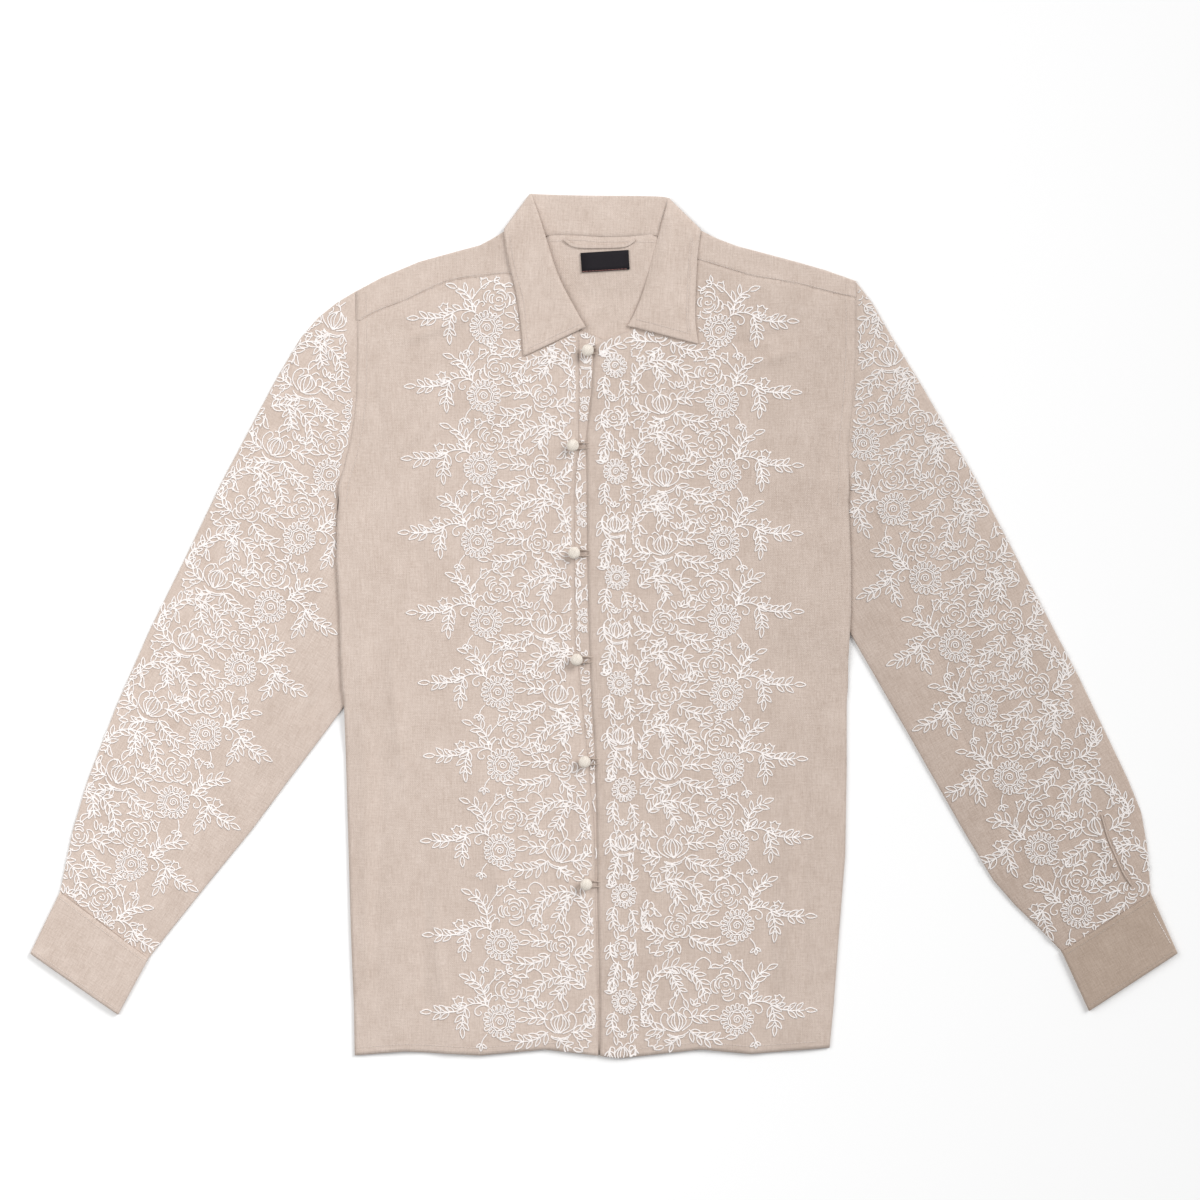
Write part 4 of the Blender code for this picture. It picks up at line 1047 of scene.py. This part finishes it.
def tier(chance, pitch, reach):
    """One tier about its daisy, its tip towards +X. A longer pitch spreads its upper half."""
    stretch = pitch / TIER_PITCH

    def spread(points):
        return [(x if x < 20 else 20 + (x - 20) * reach, y * stretch if y > 20 else y) for x, y in points]

    paths = daisy(15.4, chance.choice((18, 19)), chance)
    paths += leafy(spread(MAIN_STEM), chance, 2, 0.85, (1,), False)
    paths += leafy(spread(TIP_SPRAY), chance, 5)
    paths += leafy(spread(DOWN_SPRAY), chance, 3, 0.95)
    paths += leafy(spread(UP_SPRAY), chance, 3)
    paths.append(through(spread(SPRIG_STEM)))
    paths += sprig(spread(SPRIG_STEM)[-1], 2.8, 7, chance)
    paths += [through(HOOK), through(SMALL_HOOK), through(DROP)]
    paths += sprig(DROP[-1], -1.4, 6.5, chance)
    paths += leafy(GARLAND_LOW, chance, 3)
    paths += leafy(GARLAND_SHORT, chance, 3, 0.95)
    garland = spread(GARLAND_HIGH)
    if chance.random() < 0.35:
        garland = garland[1:]
    paths += leafy(garland, chance, 2, 1, (1, -1), False)
    paths += leafy(spread(HANGING_SPRAY), chance, 2, 0.85)
    paths += leafy(SIDE_SPRAY, chance, 3)
    paths += leafy(spread(RIM_SPRAY), chance, 3, 0.85)
    paths += leafy(FOOT_SPRAY, chance, 3, 0.85)
    paths += sprig((-40, 13), 1.2, 7, chance)
    paths.append(through(spread(OPEN_BUD)))
    for shape, place, angle in (
        (bell(10, 8.5), (20 + 17.5 * reach, 12.5), 1.35),
        (bell(10, 8.5), (4, 36 * stretch), 2),
        (bell(12, 9.5), (-80, 20 * stretch), -1.75),
        (bell(13, 10), (-72, -14), -2.3),
        (bell(10, 8), (-26, 20 * stretch), -2.2),
        (flame_leaf(16), (-60, 10), 1.25),
        (flame_leaf(13), (-70, 9), 2.4),
        (flame_leaf(12), (-25, 38 * stretch), 0.1),
        (leaf(11, 4.2), (-27, 10), 0.4),
    ):
        paths.append(seated(shape, place, angle + 0.14 * chance.uniform(-1, 1), chance.uniform(0.94, 1.06)))
    paths += [seated(path, (-11, 26 * stretch), 0) for path in rose(13.6, chance)]
    flower = full_rose if chance.random() < 0.6 else rose
    return paths + [seated(path, (-56, -1.5), 0.15) for path in flower(12.8, chance)]


def column_repeat(chance):
    """One repeat of the narrow column: a daisy, leaves and a bell, a rose, then leaves again."""
    paths = daisy(11.6, 15, chance)
    for stem in COLUMN_STEMS:
        paths += leafy(stem, chance, 3, 0.86)
    paths.append(seated(bell(11, 8), (-12, 20), -1.5))
    paths.append(seated(bell(11.5, 8.5), (-1, -68), -1.3))
    paths += sprig((-1.5, -33), 1.6, 6, chance)
    paths += sprig((-11, 8), 2, 7, chance)
    paths += sprig((11, -34), 0.9, 6, chance)
    flower = chance.choice((rose, full_rose))
    return paths + [seated(path, (-1.5, -48.5), 0) for path in flower(10.8, chance)]


def stepped(path, step):
    """The same line with a place at every step along it."""
    line = [path[0]]
    left = step
    for a, b in zip(path, path[1:]):
        size = dist(a, b)
        at = left
        while at <= size:
            line.append(blend(a, b, at / size))
            at += step
        left = at - size
    return line


def covered(tree, x, y, z, margin):
    """Whether this cloth lies over a place, or nearer to it than the margin."""
    return met(tree, x, y)[0] is not None or tree.find_nearest(spot(x, y, z), margin * MM)[0] is not None


LYING = 0.3


def worked_runs(paths, ground, covers, inside, margin=1.3):
    """The stretches of each path that lie on open cloth."""
    runs = []
    for path in paths:
        run = []
        for x, y in stepped(path, STITCH):
            place, way = met(ground, x, y)
            good = place is not None and way.z > LYING and inside(x, y)
            if good and not any(covered(tree, x, y, place.z / MM, margin) for tree in covers):
                run.append((x, y))
            else:
                runs.append(run)
                run = []
        runs.append(run)
    return [run for run in runs if len(run) > 3]


def threads(name, runs, ground, half, finish, flat=CORD_FLAT, pinch=0.78, sunk=0.1):
    """Thread laid on the cloth along each run, pinched between its stitches."""
    lines = bpy.data.curves.new(name, "CURVE")
    lines.dimensions = "3D"
    lines.twist_mode = "Z_UP"
    lines.bevel_depth = half * MM
    lines.bevel_resolution = 0
    lines.use_fill_caps = True
    for run in runs:
        spline = lines.splines.new("POLY")
        spline.points.add(len(run) - 1)
        for index, (x, y) in enumerate(run):
            spline.points[index].co = (x * MM, y * MM, 0, 1)
            spline.points[index].radius = 1 if index % 2 else pinch
    holder = bpy.data.objects.new(name + "_lines", lines)
    mesh = bpy.data.meshes.new_from_object(holder)
    bpy.data.objects.remove(holder)
    for vert in mesh.vertices:
        rest = height(ground, vert.co.x / MM, vert.co.y / MM) + half * flat - sunk
        vert.co.z = rest * MM + vert.co.z * flat
    mesh.shade_smooth()
    mesh.name = name
    mesh.materials.clear()
    mesh.materials.append(finish)
    piece = placed(name, mesh)
    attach(piece, "root")
    return piece


def tiers(daisies, mirror, angle, seed, reach=1):
    """Tiers at each daisy, spread over the way to the next one above. Mirrored ones point
    towards -X."""
    paths = []
    chance = random.Random(seed)
    for above, place in zip([None, *daisies], daisies):
        pitch = max(62, min(84, dist(above, place))) if above else TIER_PITCH
        for path in tier(chance, pitch, reach):
            local = [(x * mirror + chance.uniform(-0.12, 0.12), y) for x, y in path]
            paths.append(seated(local, place, angle))
    return paths


white_thread = thread_finish("white_thread_finish", THREAD_LIGHT, THREAD_DARK)
collar_tree = solid_tree("collar")

# Embroidery of the wearer's right front: the same cord, its tiers pointing towards the side
# seam, with a band of plain linen by the front edge.
RIGHT_DAISIES = [
    (-108.8, 277.1), (-111.6, 213.9), (-114.4, 146.9), (-117.2, 78.1), (-109.7, 3.7), (-98.6, -61.4),
    (-93.9, -129.3), (-96.7, -208.3), (-94.9, -295.7), (-96.7, -367.4),
]
LEFT_DAISIES = [
    (107, 274.4), (109.7, 208.3), (111.6, 140.4), (110.7, 77.2), (111.6, 4.7), (113.5, -63.2),
    (115.3, -132.1), (120, -204.6), (123.7, -278.1), (123.7, -365.5),
]
PLAIN_EDGE = 2.5
tree = cloth_trees["front_right_panel"]
runs = worked_runs(
    tiers(RIGHT_DAISIES, -1, 0, 11), tree, [collar_tree], lambda x, y: x < centre_right(y) - PLAIN_EDGE,
)
worked_right = threads("embroidery_front_right", runs, tree, CORD_HALF, white_thread)

# Embroidery of the wearer's left front: the mirrored tiers, and the column of the same cord
# between them and the opening.
COLUMN_LINE = [(-400, 18.5), (-160, 19), (-60, 14.5), (40, 12), (260, 10)]
COLUMN_HALF = 14
COLUMN_MARGIN = 4
STRIP_X = -18
COLUMN_TOP = 242
COLUMN_END = 256
STRIP_SHIFT = -40
NECK_SPRAY = [(-4, 253), (7, 259.5), (18, 264)]
COLUMN_PITCH = 98.5
column_x = column_of(COLUMN_LINE)
tree = cloth_trees["front_left_panel"]
paths = tiers(LEFT_DAISIES, 1, 0, 23)
runs = worked_runs(paths, tree, [collar_tree], lambda x, y: x > column_x(y) + COLUMN_HALF)
worked_left = threads("embroidery_front_left", runs, tree, CORD_HALF, white_thread)
chance = random.Random(5)
paths = []
for repeat in range(-1, 8):
    foot = COLUMN_TOP - repeat * COLUMN_PITCH
    for path in column_repeat(chance):
        paths.append([(x + column_x(y + foot), y + foot) for x, y in path])
runs = worked_runs(
    paths, tree, [collar_tree],
    lambda x, y: centre_left(y) + COLUMN_MARGIN < x < column_x(y) + COLUMN_HALF and y < COLUMN_END,
)
runs += worked_runs(leafy(NECK_SPRAY, chance), tree, [collar_tree], lambda x, y: True)
column = threads("embroidery_column", runs, tree, CORD_HALF, white_thread)

# Embroidery of the button strip: the same column of cord, mirrored, of which only a sliver
# shows in the shade between the fronts.
tree = cloth_trees["button_strip_cloth"]
paths = []
for repeat in range(-1, 8):
    place = (STRIP_X, COLUMN_TOP + STRIP_SHIFT - repeat * COLUMN_PITCH)
    paths += [seated([(-x, y) for x, y in path], place, 0) for path in column_repeat(chance)]
covers = [collar_tree, cloth_trees["front_right_panel"], cloth_trees["front_left_panel"]]
runs = worked_runs(paths, tree, covers, lambda x, y: True, 0.8)
worked = threads("embroidery_strip", runs, tree, CORD_HALF, white_thread)

# Embroidery of the sleeves: the same tiers of cord lean with each sleeve and are cut off by
# its folds and seams.
SLEEVE_RIGHT_DAISIES = [
    (-171.1, 316.2), (-199, 257.6), (-226.9, 199), (-254.8, 140.4), (-282.7, 81.8), (-309.7, 17.7),
    (-337.6, -40), (-370.1, -100.4), (-399.9, -163.7), (-439, -221.3), (-470, -280),
]
SLEEVE_LEFT_DAISIES = [
    (157.2, 350.6), (185.1, 290.2), (213, 229.7), (240.9, 169.3), (268.8, 108.8), (298.5, 44.6),
    (326.4, -17.7), (350.6, -78.1), (376.7, -140.4), (406.4, -206.5), (439.9, -265.1), (468, -326),
]
SLEEVE_REACH = 0.82
ARM_MARGIN = 2.4
CUFF_MARGIN = 0.4
# Painted shade: a darker copy of the white thread for the wearer's left sleeve.
painted_shade_white_thread = thread_finish("white_thread_painted_shade", (0.86, 0.82, 0.8), (0.72, 0.66, 0.63))
PLACKET = [(461.9, -174.8), (467.8, -196.2), (474.3, -211.6), (482.7, -229.7), (491, -242)]
PLACKET_MARGIN = 2
PLACKET_HALF = 0.9
worked_sleeve = {}

for side, daisies, mirror, turn, armhole, shoulder, cuff_sides, thread in (
    ("right", SLEEVE_RIGHT_DAISIES, 1, -0.52, ARMHOLE_RIGHT, 8, CUFF_RIGHT, white_thread),
    ("left", SLEEVE_LEFT_DAISIES, -1, 0.42, ARMHOLE_LEFT, 0, CUFF_LEFT, painted_shade_white_thread),
):

    def on_sleeve(x, y):
        """Off the armhole, more so at the wearer's right shoulder, and off the cuff and placket."""
        seam = [sides[0] for sides in cuff_sides]
        off_armhole = near_line(x, y, armhole) > ARM_MARGIN + shoulder * smooth((y - 190) / 80)
        off_cuff = near_line(x, y, seam) > CUFF_MARGIN
        return off_armhole and off_cuff and near_line(x, y, PLACKET) > PLACKET_MARGIN

    tree = cloth_trees[f"sleeve_{side}_tube"]
    paths = tiers(daisies, mirror, turn, 41 + mirror, SLEEVE_REACH)
    runs = worked_runs(paths, tree, [cloth_trees[f"front_{side}_panel"]], on_sleeve)
    worked_sleeve[side] = threads(f"embroidery_sleeve_{side}", runs, tree, CORD_HALF, thread)

# Sleeve placket: the slit above the wearer's left cuff, its edge bound with a narrow rolled
# strip of the same linen.
# Painted shade: the placket edge's linen is darkened like the sleeve it lies on.
placket = threads(
    "sleeve_placket_edge", [stepped(through(PLACKET), STITCH)], tree, PLACKET_HALF,
    linen("placket_finish", 0.3, (0.9, 0.89, 0.88)), 0.9, 1, 0,
)
for side, area, sewn in (("right", 0.172, []), ("left", 0.167, [placket])):
    sewn.append(worked_sleeve[side])

# Topstitching: short stitches of linen-coloured thread along the seams, the hem, the cuffs and
# the collar, red ones along the label's foot, and a few white ones at the cuff's edge.
SEWN = 2.2
SEWN_STEP = 3.1
SEWN_HALF = 0.26
SEWN_FINE = 0.25
HEM_TURNED = 7
linen_thread = thread_finish("linen_thread_finish", (0.74, 0.65, 0.59), (0.6, 0.51, 0.45))
red_thread = thread_finish("red_thread_finish", (0.36, 0.12, 0.1), (0.22, 0.07, 0.06))
now = bpy.context.evaluated_depsgraph_get()


def dashes(points):
    """The two ends of each stitch along a line."""
    line = stepped(through(points), SEWN_FINE)
    first = round(SEWN / SEWN_FINE)
    step = round(SEWN_STEP / SEWN_FINE)
    return [(line[at], line[at + first]) for at in range(0, len(line) - first, step)]


def topstitched(name, piece, finish, lines):
    ground = BVHTree.FromObject(piece, now)
    runs = [run for line in lines for run in dashes(line)]
    return threads(name, runs, ground, SEWN_HALF, finish, 0.9, 1, 0.05)


def hem_line(low, high):
    return [(x, hem(x) + HEM_TURNED) for x in range(low, high, 12)]


yoke_stitches = topstitched("yoke_topstitching", yoke, linen_thread, [
    [(-226, 286.6), (-207, 295.2), (-185, 303.6), (-146, 321.2), (-104.2, 327.7), (-64, 329.6)],
    [(60.5, 344.8), (89.3, 340.7), (135.8, 327.1), (179.6, 319.2), (213.6, 310.6), (230, 307)],
    [(-221, 309), (-220.6, 289)],
    [(225, 318), (225, 310)],
    [(-54, 357.4), (-25, 358.6), (-3.7, 357), (22, 357.2), (48, 356.6)],
])
right_stitches = topstitched("front_right_topstitching", front_right, linen_thread, [
    [(-220.2, 283), (-220.3, 249), (-221.2, 210), (-226.5, 172), (-231.8, 150.7), (-237.3, 131),
     (-239.4, 112)],
    hem_line(-226, -10),
])
left_stitches = topstitched("front_left_topstitching", front_left, linen_thread, [
    [(225, 303), (224.6, 249), (222.2, 210), (218.6, 172), (218, 150.7), (218.2, 131), (217, 112)],
    hem_line(6, 205),
])
right_cuff_stitches = topstitched("cuff_right_topstitching", cuffs["right"], linen_thread, [
    [(-505, -253), (-428, -310.8)],
    [(-529.4, -301.9), (-451.7, -356)],
])
# Painted shade: darker linen thread for the darkened wearer's left cuff.
painted_shade_linen_thread = thread_finish("painted_shade_thread_finish", (0.5, 0.42, 0.36), (0.4, 0.33, 0.27))
left_cuff_stitches = topstitched("cuff_left_topstitching", cuffs["left"], painted_shade_linen_thread, [
    [(507.6, -254.7), (429.6, -304.8)],
    [(529.3, -301.5), (451, -352.5)],
])
white_stitches = topstitched("cuff_left_white_stitches", cuffs["left"], white_thread, [
    [(510.4, -266.4), (527, -296.4)],
])
collar_stitches = topstitched("collar_topstitching", collar, linen_thread, [
    [(-87.5, 362), (-84.6, 343), (-80.4, 325), (-75.4, 306), (-72.6, 286), (-70.4, 260)],
    [(-70.9, 257.5), (-21.7, 280.7)],
    [(80.5, 360), (78.8, 340), (77.8, 319), (76.8, 297), (77, 281), (78.6, 272)],
    [(82.6, 360), (80.9, 340), (79.9, 319), (78.9, 297), (79.1, 281), (80.6, 270)],
    [(78.6, 272), (28, 285.6)],
    [(50.4, 368.5), (58.2, 394)],
])
label_stitches = topstitched("label_stitches", label, red_thread, [[(-20.2, 329.2), (23.2, 331.9)]])

# Setting: a plain white floor, broad soft light from the upper left, and a camera straight
# above the shirt on a long lens.
PICTURE_CENTRE = (-3.7, 24.2)
PICTURE_WIDTH = 1116
CAMERA_HEIGHT = 3200
FLOOR_SIDE = 6000
FLOOR_DROP = 0.2
KEY_WAY = (-0.68, -0.54, -0.62)
KEY_SPREAD = radians(28)

shape = bmesh.new()
bmesh.ops.create_grid(shape, x_segments=1, y_segments=1, size=FLOOR_SIDE / 2 * MM)
bmesh.ops.translate(shape, verts=shape.verts, vec=(0, 0, -FLOOR_DROP * MM))
floor = new_piece("floor", shape)
white = Finish("floor_white", 0.9)
white.colour((0.9, 0.9, 0.9, 1))
floor.data.materials.append(white.material)


def soft_light(name, place, side, power):
    lamp = bpy.data.lights.new(name, "AREA")
    lamp.size = side
    lamp.energy = power
    holder = placed(name, lamp)
    holder.location = place
    holder.rotation_euler = (-Vector(place)).to_track_quat("-Z", "Y").to_euler()


soft_light("window_light", (-1.6, 0.5, 2), 2, 38)
key = bpy.data.lights.new("key_light", "SUN")
key.energy = 2.12
key.angle = KEY_SPREAD
placed("key_light", key).rotation_euler = Vector(KEY_WAY).to_track_quat("-Z", "Y").to_euler()
world = bpy.data.worlds.new("studio")
world.use_nodes = True
sky = world.node_tree.nodes["Background"].inputs
sky["Color"].default_value = (1, 1, 1, 1)
sky["Strength"].default_value = 0.42
bpy.context.scene.world = world
bpy.context.scene.view_settings.view_transform = "Standard"

lens = bpy.data.cameras.new("camera")
lens.angle = 2 * atan(PICTURE_WIDTH / 2 / CAMERA_HEIGHT)
lens.clip_end = 20
camera = placed("camera", lens)
camera.location = spot(*PICTURE_CENTRE, CAMERA_HEIGHT)
bpy.context.scene.camera = camera
